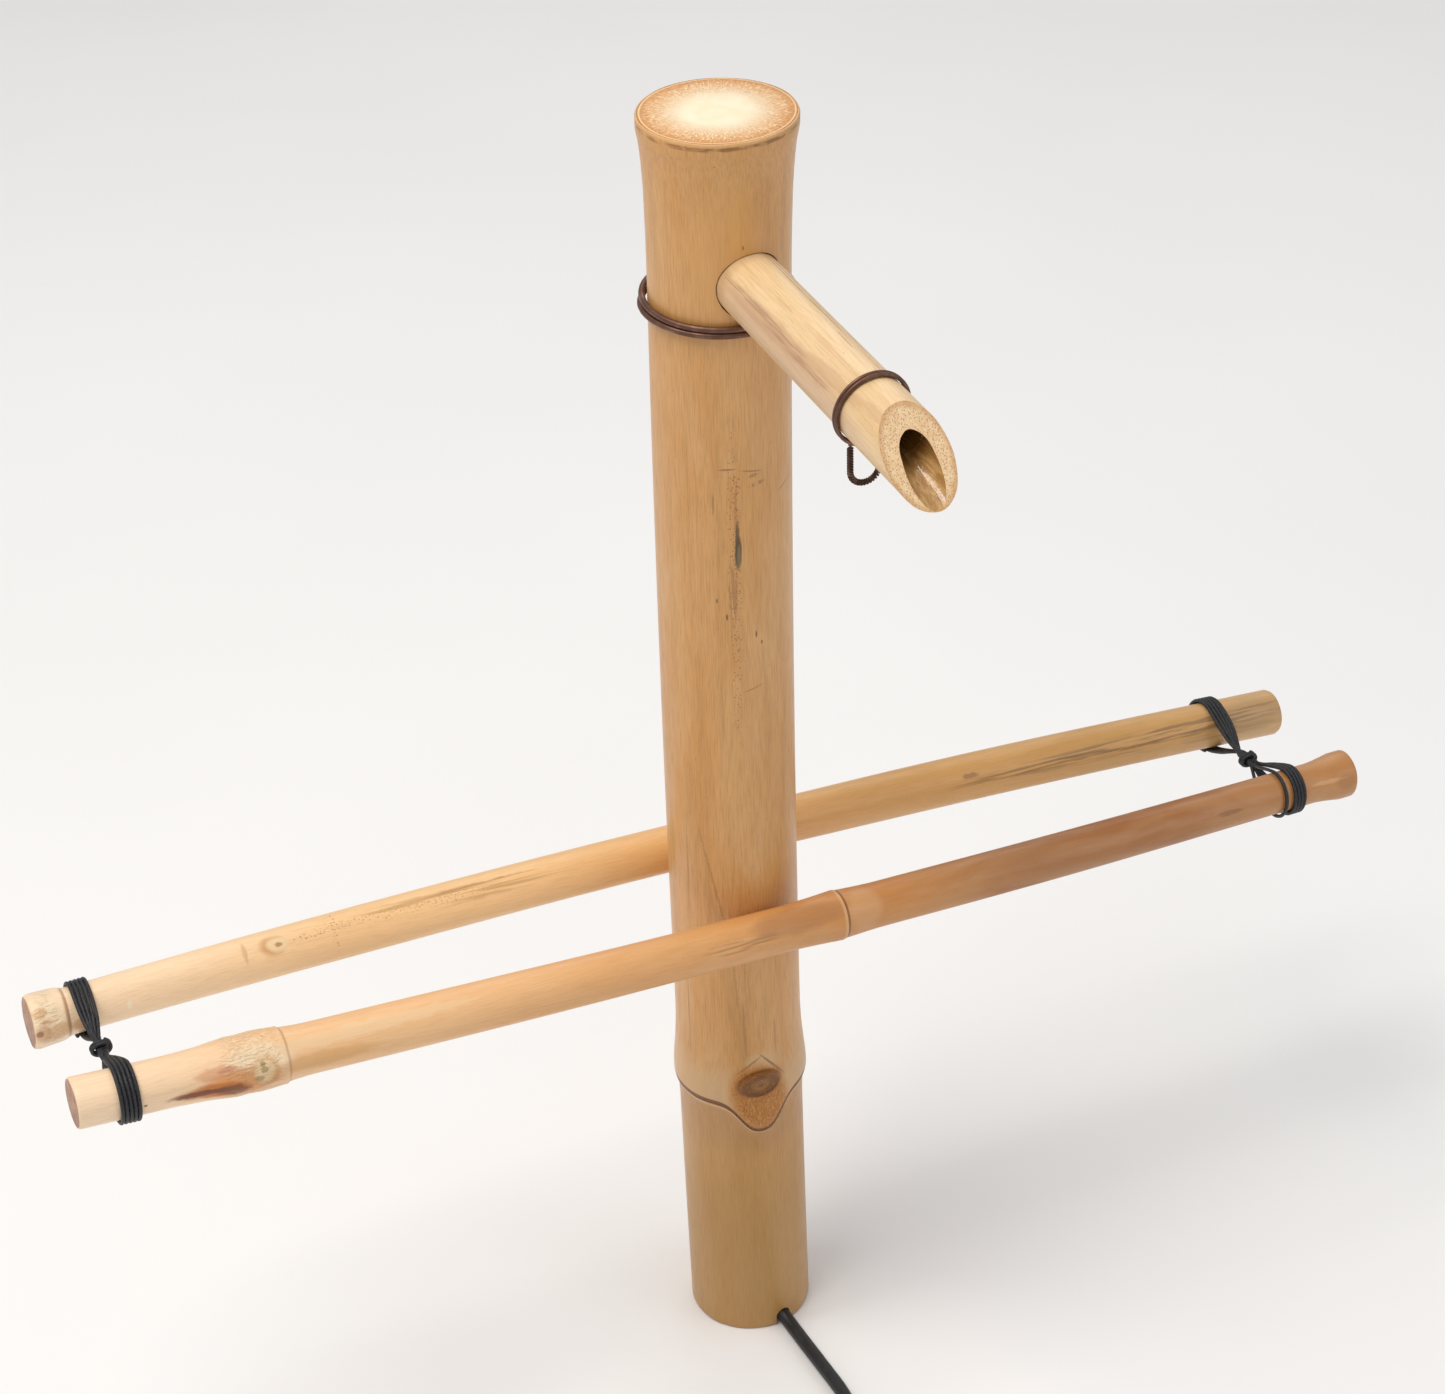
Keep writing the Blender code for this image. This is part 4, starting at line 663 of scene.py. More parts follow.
def fade(tree, value, *edges):
    """A share that goes from 0 to 1 between two values, and back to 0 between two more if given."""
    share = node(tree, "MapRange", {0: value, 1: edges[0], 2: edges[1]}, interpolation_type="SMOOTHSTEP")
    if len(edges) == 4:
        fall = node(tree, "MapRange", {0: value, 1: edges[3], 2: edges[2]}, interpolation_type="SMOOTHSTEP")
        share = node(tree, "Math", {0: share, 1: fall}, operation="MULTIPLY")
    return share


def stretched(tree, axis, width, length):
    """Object coordinates in which one unit is a width across the axis and a length along it."""
    place = node(tree, "TexCoord", {}, "Object")
    axis = tuple(Vector(axis).normalized())
    along = node(tree, "VectorMath", {0: place, 1: axis}, "Value", operation="DOT_PRODUCT")
    back = node(tree, "VectorMath", {0: axis, 3: along}, operation="SCALE")
    across = node(tree, "VectorMath", {0: place, 1: back}, operation="SUBTRACT")
    across = node(tree, "VectorMath", {0: across, 3: 1 / width}, operation="SCALE")
    back = node(tree, "VectorMath", {0: back, 3: 1 / length}, operation="SCALE")
    return node(tree, "VectorMath", {0: across, 1: back}, operation="ADD")


def grain(tree, axis, width, length, low, high, detail=3.0, distortion=0.0):
    """Noise with grains of a real width and length, as a share between two of its levels."""
    inputs = {"Vector": stretched(tree, axis, width, length), "Scale": 1.0}
    inputs |= {"Detail": detail, "Distortion": distortion}
    return fade(tree, node(tree, "TexNoise", inputs), low, high)


def cells(tree, vector, near, far):
    """Dots at the middles of irregular cells, as a share: 1 nearer than near, 0 past far."""
    made = node(tree, "TexVoronoi", {"Vector": vector, "Scale": 1.0, "Randomness": 1.0})
    return fade(tree, made, far, near)


def axis_reach(tree, place, axis):
    """Distance from a line through a place."""
    away = node(tree, "TexCoord", {}, "Object")
    away = node(tree, "VectorMath", {0: away, 1: tuple(place)}, operation="SUBTRACT")
    axis = tuple(Vector(axis).normalized())
    crossed = node(tree, "VectorMath", {0: away, 1: axis}, operation="CROSS_PRODUCT")
    return node(tree, "VectorMath", {0: crossed}, "Value", operation="LENGTH")


def oval(tree, centre, long_axis, wide_axis, half_long, half_wide, rough=0.0):
    """An oval mark round a place on the piece: 1 in its middle, 0 outside it."""
    place = node(tree, "TexCoord", {}, "Object")
    if rough:
        scale = 0.5 / max(half_wide, 0.0006)
        wobble = node(tree, "TexNoise", {"Vector": place, "Scale": scale, "Detail": 3.0}, "Color")
        wobble = node(tree, "VectorMath", {0: wobble, 1: (0.5, 0.5, 0.5)}, operation="SUBTRACT")
        wobble = node(tree, "VectorMath", {0: wobble, 3: rough}, operation="SCALE")
        place = node(tree, "VectorMath", {0: place, 1: wobble}, operation="ADD")
    away = node(tree, "VectorMath", {0: place, 1: tuple(centre)}, operation="SUBTRACT")
    deep_axis = Vector(long_axis).cross(Vector(wide_axis))
    half_deep = 3 * max(half_wide, 0.004)
    total = None
    for axis, half in ((long_axis, half_long), (wide_axis, half_wide), (deep_axis, half_deep)):
        scaled = tuple(Vector(axis).normalized() / half)
        part = node(tree, "VectorMath", {0: away, 1: scaled}, "Value", operation="DOT_PRODUCT")
        square = node(tree, "Math", {0: part, 1: part}, operation="MULTIPLY")
        total = square if total is None else node(tree, "Math", {0: total, 1: square}, operation="ADD")
    return fade(tree, total, 1.6, 0.4)


def layered(tree, colour, *layers):
    """Colours laid one over another. A layer is its colour, its strength and its shares."""
    for shade, strength, *shares in layers:
        cover = strength
        for share in shares:
            cover = node(tree, "Math", {0: cover, 1: share}, operation="MULTIPLY")
        colour = node(tree, "Mix", {0: cover, 6: colour, 7: shade}, 2, data_type="RGBA")
    return colour


def set_out(rows, spot):
    """The marks of a table in metres. spot works out each one's place and its ways along and across."""
    found = []
    for *where, half_long, half_wide, shade, strength, rough, pattern in rows:
        halves = half_long / 1000, half_wide / 1000
        found.append((spot(*where), *halves, shade, strength, rough / 1000, pattern))
    return found


def marked(tree, colour, marks, patterns):
    """Lays oval marks over a colour: place, axes, half sizes, colour, strength, roughness and pattern."""
    for (point, long_axis, wide_axis), half_long, half_wide, shade, strength, rough, pattern in marks:
        cover = oval(tree, point, long_axis, wide_axis, half_long, half_wide, rough)
        colour = layered(tree, colour, (shade, strength, cover, *patterns[pattern]))
    return colour


def relief(tree, shader, *heights):
    """Bumps laid one over another. Each has its height as a share, and its real depth."""
    under = {}
    for height, depth in heights:
        normal = node(tree, "Bump", {"Height": height, "Distance": depth, **under})
        under = {"Normal": normal}
    connect(tree, shader, Normal=normal)


def bamboo_skin(tree, shader, axis, ground, fibre_shade, pale, clear=1.0):
    """Long fibres, soft blotches and fine flecks of a cured culm, drawn coarser than real ones."""
    blotch = grain(tree, axis, 0.020, 0.070, 0.36, 0.66, 4.0, 0.6)
    fibre = grain(tree, axis, 0.00042, 0.011, 0.40, 0.70, 4.0)
    band = grain(tree, axis, 0.0050, 0.110, 0.46, 0.76, 4.0, 0.4)
    speck = grain(tree, axis, 0.00055, 0.0014, 0.54, 0.72, 2.0)
    fleck = grain(tree, axis, 0.00060, 0.0016, 0.70, 0.78, 2.0)
    colour = layered(
        tree,
        ground,
        (pale, 0.50 * clear, blotch),
        (fibre_shade, 0.36 * clear, fibre),
        (fibre_shade, 0.24 * clear, band),
        (fibre_shade, 0.40 * clear, speck, band),
        ("#7A4C22", 0.50 * clear, fleck),
    )
    gloss = node(tree, "MapRange", {0: fibre, 3: 0.34, 4: 0.48})
    connect(tree, shader, Roughness=gloss)
    return colour, fibre


BAMBOO_GLOSS = {"Coat Weight": 0.15, "Coat Roughness": 0.28, "Specular IOR Level": 0.5}


# Camera, floor and light


def make_camera():
    yaw, pitch, roll = CAMERA_YAW, CAMERA_PITCH, CAMERA_ROLL
    level = math.cos(pitch)
    forward = Vector((math.sin(yaw) * level, math.cos(yaw) * level, -math.sin(pitch)))
    right = Vector((math.cos(yaw), -math.sin(yaw), 0.0))
    up = right.cross(forward)
    side = right * math.cos(roll) + up * math.sin(roll)
    top = up * math.cos(roll) - right * math.sin(roll)
    bpy.ops.object.camera_add(location=CAMERA_PLACE)
    camera = bpy.context.object
    camera.name = "photo_camera"
    turn = Matrix((side, top, -forward)).transposed().to_4x4()
    camera.matrix_world = Matrix.Translation(CAMERA_PLACE) @ turn
    camera.data.lens = CAMERA_LENS
    camera.data.sensor_width = SENSOR_MILLIMETRES
    camera.data.sensor_fit = "HORIZONTAL"
    camera.data.clip_start = 0.05
    camera.data.clip_end = 60.0
    bpy.context.scene.camera = camera


def make_floor():
    bpy.ops.object.select_all(action="DESELECT")
    bpy.ops.mesh.primitive_plane_add(size=FLOOR_SIZE, location=(0, 0, -FLOOR_DROP))
    floor = bpy.context.object
    floor.name = "studio_floor"
    settle(floor)
    # Matt emulsion paint: an even white that takes a soft shadow
    matt = {"Roughness": 0.9, "Specular IOR Level": 0.1}
    material, tree, shader = new_material("painted_studio_floor", matt)
    roller = grain(tree, UP, 0.4, 0.4, 0.35, 0.65)
    connect(tree, shader, Base_Color=layered(tree, "#F8F8F8", ("#FAFAFA", 1.0, roller)))
    set_materials(floor, material)


def make_lights():
    for name, (place, size, power, colour) in LIGHTS.items():
        bpy.ops.object.light_add(type="AREA", location=place)
        light = bpy.context.object
        light.name = name
        light.data.shape = "DISK"
        light.data.size = size
        light.data.energy = power
        light.data.color = linear(colour)
        light.rotation_mode = "QUATERNION"
        light.rotation_quaternion = (LAMP_AIM - Vector(place)).to_track_quat("-Z", "Y")
    world = bpy.data.worlds.new("studio_world")
    world.use_nodes = True
    sky = world.node_tree.nodes["Background"]
    sky.inputs["Color"].default_value = (1.0, 1.0, 1.0, 1.0)
    sky.inputs["Strength"].default_value = SKY_STRENGTH
    bpy.context.scene.world = world
    bpy.context.scene.view_settings.view_transform = "Standard"


# Power cord and plug


def coil_heading():
    return Vector((math.sin(COIL_START), -math.cos(COIL_START), 0.0))


def coil_point(turns, layer, radius):
    spoke = compass(COIL_START - 2 * math.pi * turns) * radius
    return Vector((*COIL_CENTRE, CORD_REST + COIL_RISE * layer)) + spoke


def coil_points():
    """Two layers of turns, in to the middle and out again, and the tail to the plug."""
    points = [coil_point(0.0, 0.0, COIL_RADIUS) - coil_heading() * CORD_WIDTH]
    inner = COIL_RADIUS - COIL_PITCH * COIL_LAYER_TURNS
    total = 2 * COIL_LAYER_TURNS + 0.5
    steps = round(total * COIL_LOOP_POINTS)
    for i in range(steps + 1):
        turns = total * i / steps
        past = turns - COIL_LAYER_TURNS
        if past <= 0:
            points.append(coil_point(turns, 0.0, COIL_RADIUS - COIL_PITCH * turns))
        elif past >= 0.5:
            points.append(coil_point(turns, 1.0, COIL_RADIUS - COIL_PITCH * (total - turns)))
        else:
            layer = float(smooth_step(past, 0.0, 0.5))
            points.append(coil_point(turns, layer, inner - COIL_PITCH * min(past, 0.5 - past)))
    points.append(points[-1] + coil_heading() * COIL_TAIL)
    return points


def cord_points():
    """The whole cord, from the pump's gland to the plug."""
    turn = Matrix.Rotation(PUMP_ANGLE, 4, "Z")
    starts = [GLAND_PLACE + CORD_WIDTH * share for share in (0.0, 0.5, 1.0)]
    first = [turn @ Vector((start, 0.0, GLAND_HEIGHT)) for start in starts]
    route = [Vector((x, y, CORD_REST + lift)) for x, y, lift in CORD_ROUTE]
    coil = coil_points()
    last = [coil[0] - coil_heading() * CORD_WIDTH * share for share in (1.0, 0.5)]
    path = smooth_route([*first, *route, *last], 0.005)
    return [point + FOOT for point in [*path, *coil]]


def jacket_material(finish):
    """Extruded rubber jacket: near black, a little dusty, with a dull sheen."""
    material, tree, shader = new_material("extruded_rubber_jacket", {"IOR": 1.52})
    dust = grain(tree, UP, 0.004, 0.004, 0.45, 0.70)
    connect(
        tree,
        shader,
        Base_Color=layered(tree, finish.cord, ("#26262A", 0.5, dust)),
        Roughness=node(tree, "MapRange", {0: dust, 3: 0.42, 4: 0.58}),
    )
    return material


def make_power_cord(finish):
    jacket = jacket_material(finish)
    points = cord_points()
    cord = draw_curve("cord_line", points, CORD_WIDTH, 4, 3)
    set_materials(cord, jacket)
    hand_in(cord, POST_BODY, "black_rubber", "power_cord", "cord_coil")
    plug = make_plug(jacket)
    tie = make_coil_tie()


def make_plug(jacket):
    """The moulded plug: a rounded body that narrows to a ribbed, tapered strain relief."""
    body = new_box("moulded_plug", PLUG_SIZE, (0, 0, PLUG_MIDDLE))
    edit(body)
    bpy.ops.mesh.subdivide(number_cuts=6)
    bpy.ops.object.mode_set(mode="OBJECT")
    co = points_of(body)
    widen = smooth_step(co[:, 2], 0.020, 0.0353)
    co[:, 0] *= 0.60 + 0.40 * widen
    co[:, 1] *= 0.72 + 0.28 * widen
    put_points(body, co)
    round_off(body, PLUG_ROUNDING, 4, 50)
    profile = [(0.0, 0.0), (0.0040, 0.0)]
    for i in range(PLUG_RIBS):
        at = PLUG_RIB_START + PLUG_RIB_PITCH * i
        radius = PLUG_NECK_RADIUS + PLUG_NECK_GROWTH * at / PLUG_NECK_LENGTH
        groove = radius - PLUG_RIB_DEPTH
        profile += [(radius, at), (radius, at + 0.0018), (groove, at + 0.0021), (groove, at + 0.0029)]
    profile += [(0.0062, 0.0205), (0.0062, 0.0240), (0.0, 0.0240)]
    combine(body, turn_profile("plug_neck", profile, 32), "UNION")
    heading = coil_heading()
    put_in(body, frame_at(coil_points()[-1] + FOOT + heading * PLUG_GAP, heading, UP))
    finish_mesh(body, 40)
    set_materials(body, jacket)
    hand_in(body, POST_BODY, "black_rubber", "plug")
    return body


def make_coil_tie():
    """A soft tie round the coil's near side holds its turns."""
    middle = Vector((*COIL_CENTRE, 0.0)) + FOOT
    inner = COIL_RADIUS - COIL_PITCH * (COIL_LAYER_TURNS + 0.25) - TIE_INSIDE
    outer = COIL_RADIUS + TIE_OUTSIDE
    size = (outer - inner, TIE_WIDTH, TIE_HEIGHT)
    tie = new_box("coil_tie", size, ((inner + outer) / 2, 0, TIE_MIDDLE))
    edit(tie)
    bpy.ops.mesh.select_mode(type="FACE")
    bpy.ops.mesh.select_all(action="DESELECT")
    bpy.ops.object.mode_set(mode="OBJECT")
    for face in tie.data.polygons:
        face.select = abs(face.normal.y) > 0.9
    bpy.ops.object.mode_set(mode="EDIT")
    bpy.ops.mesh.inset(thickness=TIE_TAPE, depth=0.0)
    bpy.ops.mesh.delete(type="FACE")
    bpy.ops.object.mode_set(mode="OBJECT")
    round_off(tie, TIE_ROUNDING, 3)
    put_in(tie, Matrix.Translation(middle) @ Matrix.Rotation(math.radians(-90), 4, "Z"))
    finish_mesh(tie, 40)
    # Woven nylon tape: matt, with threads a millimetre apart
    material, tree, shader = new_material("woven_nylon_tie", {"Roughness": 0.8})
    weave = node(tree, "TexWave", {"Vector": stretched(tree, UP, 0.001, 0.001), "Scale": 1.2}, "Fac")
    connect(tree, shader, Base_Color=layered(tree, "#1B1B1D", ("#2C2C2F", 1.0, weave)))
    set_materials(tie, material)
    hand_in(tie, POST_BODY, "black_rubber")
    return tie


# The post


def skin_radius(height):
    """The post's radius at heights, before its ring dips round the bud."""
    swell = curve_through((height - RING_HEIGHT) / NODE_SWELL_HEIGHT, SWELL_PLACES, SWELL_SHARES)
    below = RING_HEIGHT - RING_LEDGE
    scar = curve_through((below - height) / NODE_SCAR_HEIGHT, SCAR_PLACES, SCAR_SHARES)
    ledge = smooth_step(height, below, RING_HEIGHT)
    lip = RING_LIP * np.exp(-(((height - RING_HEIGHT + RING_LIP_DROP) / RING_LIP_HALF) ** 2))
    flare = curve_through((POST_HEIGHT - FLARE_START - height) / FLARE_LENGTH, FLARE_PLACES, FLARE_SHARES)
    bulge = NODE_BULGE * (swell * ledge + scar * (1 - ledge))
    return plain_radius(height) + bulge + lip + (TOP_RADIUS - NECK_RADIUS) * np.minimum(flare, 1.0)


def post_heights():
    """Rows that are close together at the ring and the top."""
    plain = np.arange(ROWS_START, POST_HEIGHT - ROWS_STOP, ROW_STEP)
    ring = RING_HEIGHT + np.array(RING_ROWS) / 1000
    top = POST_HEIGHT - np.array(TOP_ROWS) / 1000
    outside = (plain < ring[0] - ROW_CLEAR) | (plain > ring[-1] + ROW_CLEAR)
    return np.sort(np.concatenate([plain[outside], ring, top]))


def make_post_shell(faces):
    rows = [(float(skin_radius(h)), float(h)) for h in post_heights()]
    foot = [(0.0, 0.0), (FOOT_RADIUS - 0.0010, 0.0), (FOOT_RADIUS - 0.0003, 0.0003), (FOOT_RADIUS, 0.0011)]
    rim = [
        (TOP_RADIUS, POST_HEIGHT - 0.0008),
        (TOP_RADIUS - 0.0003, POST_HEIGHT - 0.0002),
        (TOP_RADIUS - 0.0008, POST_HEIGHT),
        (0.0, POST_HEIGHT),
    ]
    post = turn_profile("bamboo_culm", [*foot, *rows, *rim], faces)
    co = points_of(post)
    azimuth = np.arctan2(co[:, 1], co[:, 0])
    radius = np.hypot(co[:, 0], co[:, 1])
    flute = np.sin(5 * azimuth + 6 * co[:, 2]) + 0.6 * np.sin(11 * azimuth + 1.3)
    flute = FLUTE_DEPTH * flute - FLUTE_SINK
    grow = np.where(radius > 0.020, 1 + flute / np.maximum(radius, 0.001), 1.0)
    co[:, :2] *= grow[:, None]
    co[:, 2] -= ring_dip(azimuth) * dip_share(co[:, 2])
    co[:, 0] -= culm_bow(co[:, 2])
    put_points(post, co + np.array(FOOT))
    return post


def make_bud(sizes):
    """The oval bud eye, ring inside ring, bent round the post."""
    half = sizes.bud_width / 2
    profile = [(half * across, BUD_RELIEF * high) for across, high in zip(BUD_PLACES, BUD_SHARES)]
    profile += [(half, -BUD_DEPTH), (0.0, -BUD_DEPTH)]
    bud = turn_profile("bud_eye", profile, 72)
    co = points_of(bud)
    co[:, 1] *= sizes.bud_tall / sizes.bud_width
    co[:, 2] -= co[:, 0] ** 2 / (2 * (FOOT_RADIUS + NODE_BULGE))
    put_points(bud, co)
    out = compass(BUD_ANGLE)
    skin = float(skin_radius(BUD_HEIGHT)) - BUD_SINK
    frame = frame_at(post_middle(BUD_HEIGHT) + out * skin, out, UP)
    put_in(bud, frame @ Matrix.Rotation(BUD_TILT, 4, "Z"))
    finish_mesh(bud, 60)
    return bud


def hollow_post(post):
    """Cuts both hollows, the tube's hole, the spout's seat and the notch for the cord."""
    above, below = RING_HEIGHT + NODE_WALL_HALF, RING_HEIGHT - NODE_WALL_HALF
    for name, radius, low, high in (
        ("upper_hollow", NECK_RADIUS - POST_WALL, above, POST_HEIGHT - TOP_WALL),
        ("foot_hollow", FOOT_RADIUS - POST_WALL, -CUT_OVERRUN, below),
    ):
        hollow = new_rod(name, radius, low, high, 64)
        co = points_of(hollow)
        co[:, 0] -= culm_bow(co[:, 2])
        put_points(hollow, co + np.array(FOOT))
        combine(post, hollow)
    pump = Matrix.Translation(FOOT) @ Matrix.Rotation(PUMP_ANGLE, 4, "Z")
    tube = pump @ Matrix.Translation((TUBE_OFFSET, 0.0, 0.0))
    low, high = below - CUT_OVERRUN, above + CUT_OVERRUN
    combine(post, new_rod("tube_hole", TUBE_HOLE_RADIUS, low, high, 40, tube))
    seat = SPOUT_ROOT_RADIUS + SPOUT_SEAT_GAP
    combine(post, new_rod("spout_seat", seat, 0.0, SPOUT_SEAT_DEPTH, 72, spout_frame()))
    lie = Matrix.Translation((0.0, 0.0, NOTCH_HEIGHT)) @ Matrix.Rotation(math.pi / 2, 4, "Y")
    combine(post, new_rod("notch_arch", NOTCH_RADIUS, *NOTCH_REACH, 32, pump @ lie))
    slot = new_box("notch_slot", NOTCH_SLOT_SIZE, NOTCH_SLOT_PLACE)
    put_in(slot, pump)
    combine(post, slot)


def mark_ring(post):
    """Stores each point's height over the ring, along the ring's own dip."""
    co = points_of(post) - np.array(FOOT)
    azimuth = np.arctan2(co[:, 1], co[:, 0] + culm_bow(co[:, 2]))
    height = co[:, 2].copy()
    for _ in range(12):
        height = co[:, 2] + ring_dip(azimuth) * dip_share(height)
    mark_points(post, "ring", height - RING_HEIGHT)


def make_post(finish, sizes):
    post = make_post_shell(sizes.post_faces)
    combine(post, make_bud(sizes), "UNION")
    hollow_post(post)
    finish_mesh(post, 38)
    mark_ring(post)
    set_materials(post, post_material(finish, sizes), culm_end_material(), raw_wall_material())
    for face in post.data.polygons:
        reach = math.hypot(face.center.x - FOOT.x, face.center.y - FOOT.y)
        if face.normal.z > 0.95 and face.center.z > POST_HEIGHT - 0.0003:
            face.material_index = 1
        elif reach < 0.0245 or face.normal.z < -0.95 and face.center.z < 0.001:
            face.material_index = 2
    hand_in(post, POST_BODY, "honey_bamboo", "bamboo_post")


# Marks on the post's front, in millimetres and degrees: x, height, lean, half height, half width,
# colour, strength, roughness and pattern
POST_MARKS = (
    (3.2, 561.0, 0, 30.0, 14.0, "#DDA55E", 0.50, 6.0, ""),
    (1.9, 415.0, 0, 74.0, 2.6, "#8A5C30", 0.75, 3.0, "dotted"),
    (3.4, 460.0, 0, 10.0, 1.9, "#7E5228", 0.75, 2.0, "dotted"),
    (0.9, 412.0, 0, 16.0, 1.6, "#94663A", 0.55, 2.0, "streaky"),
    (2.8, 440.0, 0, 34.0, 0.5, "#8F6236", 0.45, 1.6, "streaky"),
    (3.2, 437.5, 2, 8.0, 0.80, "#5C4424", 0.85, 0.6, ""),
    (3.5, 431.0, 2, 7.6, 1.40, "#55401F", 0.90, 0.8, ""),
    (3.7, 429.5, 2, 5.0, 0.75, "#807050", 0.70, 0.6, ""),
    (-0.2, 469.8, 0, 0.40, 3.4, "#77502A", 0.60, 0.6, ""),
    (9.6, 467.6, 14, 0.40, 4.4, "#77502A", 0.50, 0.8, ""),
    (10.2, 465.4, 0, 0.80, 2.0, "#84603A", 0.45, 1.2, ""),
    (11.6, 461.2, -8, 0.90, 4.0, "#7E5830", 0.50, 1.4, "streaky"),
    (22.6, 455.0, -20, 0.50, 5.0, "#8A6440", 0.45, 1.0, ""),
    (-6.1, 453.9, 0, 5.0, 0.45, "#7E5830", 0.45, 0.8, ""),
    (-5.7, 408.8, 0, 1.1, 0.42, "#5E4224", 0.70, 0.3, ""),
    (-1.8, 400.9, 0, 1.5, 0.48, "#5E4224", 0.75, 0.3, ""),
    (10.0, 390.6, 0, 1.6, 0.45, "#5E4224", 0.75, 0.3, ""),
    (12.2, 385.9, 0, 0.9, 0.50, "#5E4224", 0.70, 0.3, ""),
    (8.3, 565.6, 0, 0.9, 0.45, "#6E4C28", 0.60, 0.3, ""),
    (-9.5, 531.0, 75, 2.0, 0.35, "#6E4C2A", 0.60, 0.4, ""),
    (8.4, 364.4, -14, 0.35, 4.4, "#8F6840", 0.50, 0.8, ""),
    (-10.5, 262.0, -12.0, 32.0, 0.60, "#8A6130", 0.32, 2.2, ""),
    (-3.2, 216.0, -4.0, 26.0, 0.55, "#8A6130", 0.28, 1.6, ""),
    (0.6, 183.0, -2.0, 16.0, 0.60, "#8A6130", 0.38, 1.2, ""),
    (-5.0, 205.0, -8.0, 60.0, 3.00, "#B08040", 0.25, 2.0, ""),
    (-23.8, 187.0, 0, 20.0, 0.50, "#8F6434", 0.45, 0.6, ""),
    (-21.8, 272.0, 0, 26.0, 0.45, "#8F6434", 0.35, 0.6, ""),
    (14.2, 176.0, 0, 9.0, 0.50, "#94693A", 0.40, 0.6, ""),
    (7.4, 162.5, 0, 6.5, 7.5, "#CFAB7C", 0.70, 1.6, ""),
    (1.9, 162.6, 52, 7.0, 0.50, "#85592C", 0.70, 0.6, ""),
    (12.3, 161.0, -38, 9.4, 0.55, "#7E5228", 0.75, 0.6, ""),
)


def post_spot(x, height, lean):
    """A place on the post's front, with the ways along and across a mark that leans there."""
    point, side = on_post(x / 1000, height / 1000)
    turn = math.radians(lean)
    long_axis = UP * math.cos(turn) + side * math.sin(turn)
    return point, long_axis, side * math.cos(turn) - UP * math.sin(turn)


def bud_spot():
    """The bud's place on the post's skin, with the ways across and up it."""
    out = compass(BUD_ANGLE)
    side = Vector((-out.y, out.x, 0.0))
    place = post_middle(BUD_HEIGHT) + out * float(skin_radius(BUD_HEIGHT))
    wide_axis = side * math.cos(BUD_TILT) + UP * math.sin(BUD_TILT)
    return place, wide_axis, UP * math.cos(BUD_TILT) - side * math.sin(BUD_TILT)


def bud_marks(sizes):
    """The bud's rings, dark and pale in turn from the outside in."""
    rings = (
        (1.20, "#C87C24", 0.60, 0.0016),
        (1.00, "#4E2A08", 0.90, 0.0008),
        (0.80, "#9A621E", 0.95, 0.0008),
        (0.58, "#643A10", 0.75, 0.0006),
        (0.46, "#A66E28", 0.95, 0.0006),
        (0.16, "#744414", 0.70, 0.0004),
    )
    return [
        (bud_spot(), share * sizes.bud_width / 2, share * sizes.bud_tall / 2, shade, strength, rough, "")
        for share, shade, strength, rough in rings
    ]


def post_material(finish, sizes):
    """Cured honey bamboo: its fibres, ring, bud, slit and scratches mark it as a real culm. Painted shade
    darkens its foot and widens the dark line at its ring.
    """
    material, tree, shader = new_material("weathered_honey_bamboo", BAMBOO_GLOSS)
    colour, fibre = bamboo_skin(tree, shader, UP, finish.post_skin, finish.post_fibre, "#DFB078")
    ring = node(tree, "Attribute", {}, "Fac", attribute_name="ring")
    height = node(tree, "SeparateXYZ", {0: node(tree, "TexCoord", {}, "Object")}, 2)
    dots = cells(tree, stretched(tree, UP, 0.0011, 0.0016), 0.16, 0.34)
    streaks = grain(tree, UP, 0.0009, 0.012, 0.40, 0.60)
    bud, across_bud, _ = bud_spot()
    under_bud = oval(tree, bud - UP * 0.0085, UP, across_bud, 0.0180, 0.0125, 0.002)
    in_dip = fade(tree, ring, -0.0006, 0.0012)
    rust = grain(tree, UP, 0.0007, 0.0022, 0.36, 0.66, 4.0)
    pits = grain(tree, UP, 0.0009, 0.0013, 0.56, 0.70, 3.0)
    broken = grain(tree, UP, 0.006, 0.002, 0.36, 0.62)
    colour = layered(
        tree,
        colour,
        # Painted shade: browner and darker towards the foot, for the basin's shadow there, and partly a
        # wetter foot
        ("#A9803F", 0.62, fade(tree, height, 0.190, 0.050)),
        ("#AE7E50", 0.45, fade(tree, ring, -0.040, -0.014, -0.0022, -0.0012)),
        ("#D2B084", 0.60, fade(tree, ring, -0.0002, 0.0010, 0.008, 0.026)),
    )
    patterns = {"": (), "dotted": (dots,), "streaky": (streaks,)}
    colour = marked(tree, colour, set_out(POST_MARKS, post_spot), patterns)
    colour = layered(
        tree,
        colour,
        ("#BE701A", 0.92, under_bud, in_dip),
        ("#DE9C42", 0.70, under_bud, in_dip, rust),
        ("#82460E", 0.65, under_bud, in_dip, pits),
    )
    colour = marked(tree, colour, bud_marks(sizes), {"": ()})
    colour = layered(
        tree,
        colour,
        ("#DDB078", 0.80, fade(tree, ring, -0.0046, -0.0036, -0.0028, -0.0022)),
        # The node's dark line, widened with painted shade under the ring's ledge
        ("#723A0C", 0.92, fade(tree, ring, -0.0027, -0.0019, 0.0004, 0.0014)),
        ("#85562A", 0.80, fade(tree, height, 0.6066, 0.6076, 0.6084, 0.6090), broken),
        ("#E2BC88", 0.35, fade(tree, height, 0.6086, 0.6094)),
    )
    connect(tree, shader, Base_Color=colour)
    texture = node(tree, "Math", {0: rust, 1: under_bud}, operation="MULTIPLY")
    relief(tree, shader, (fibre, 0.00004), (texture, 0.00045))
    return material


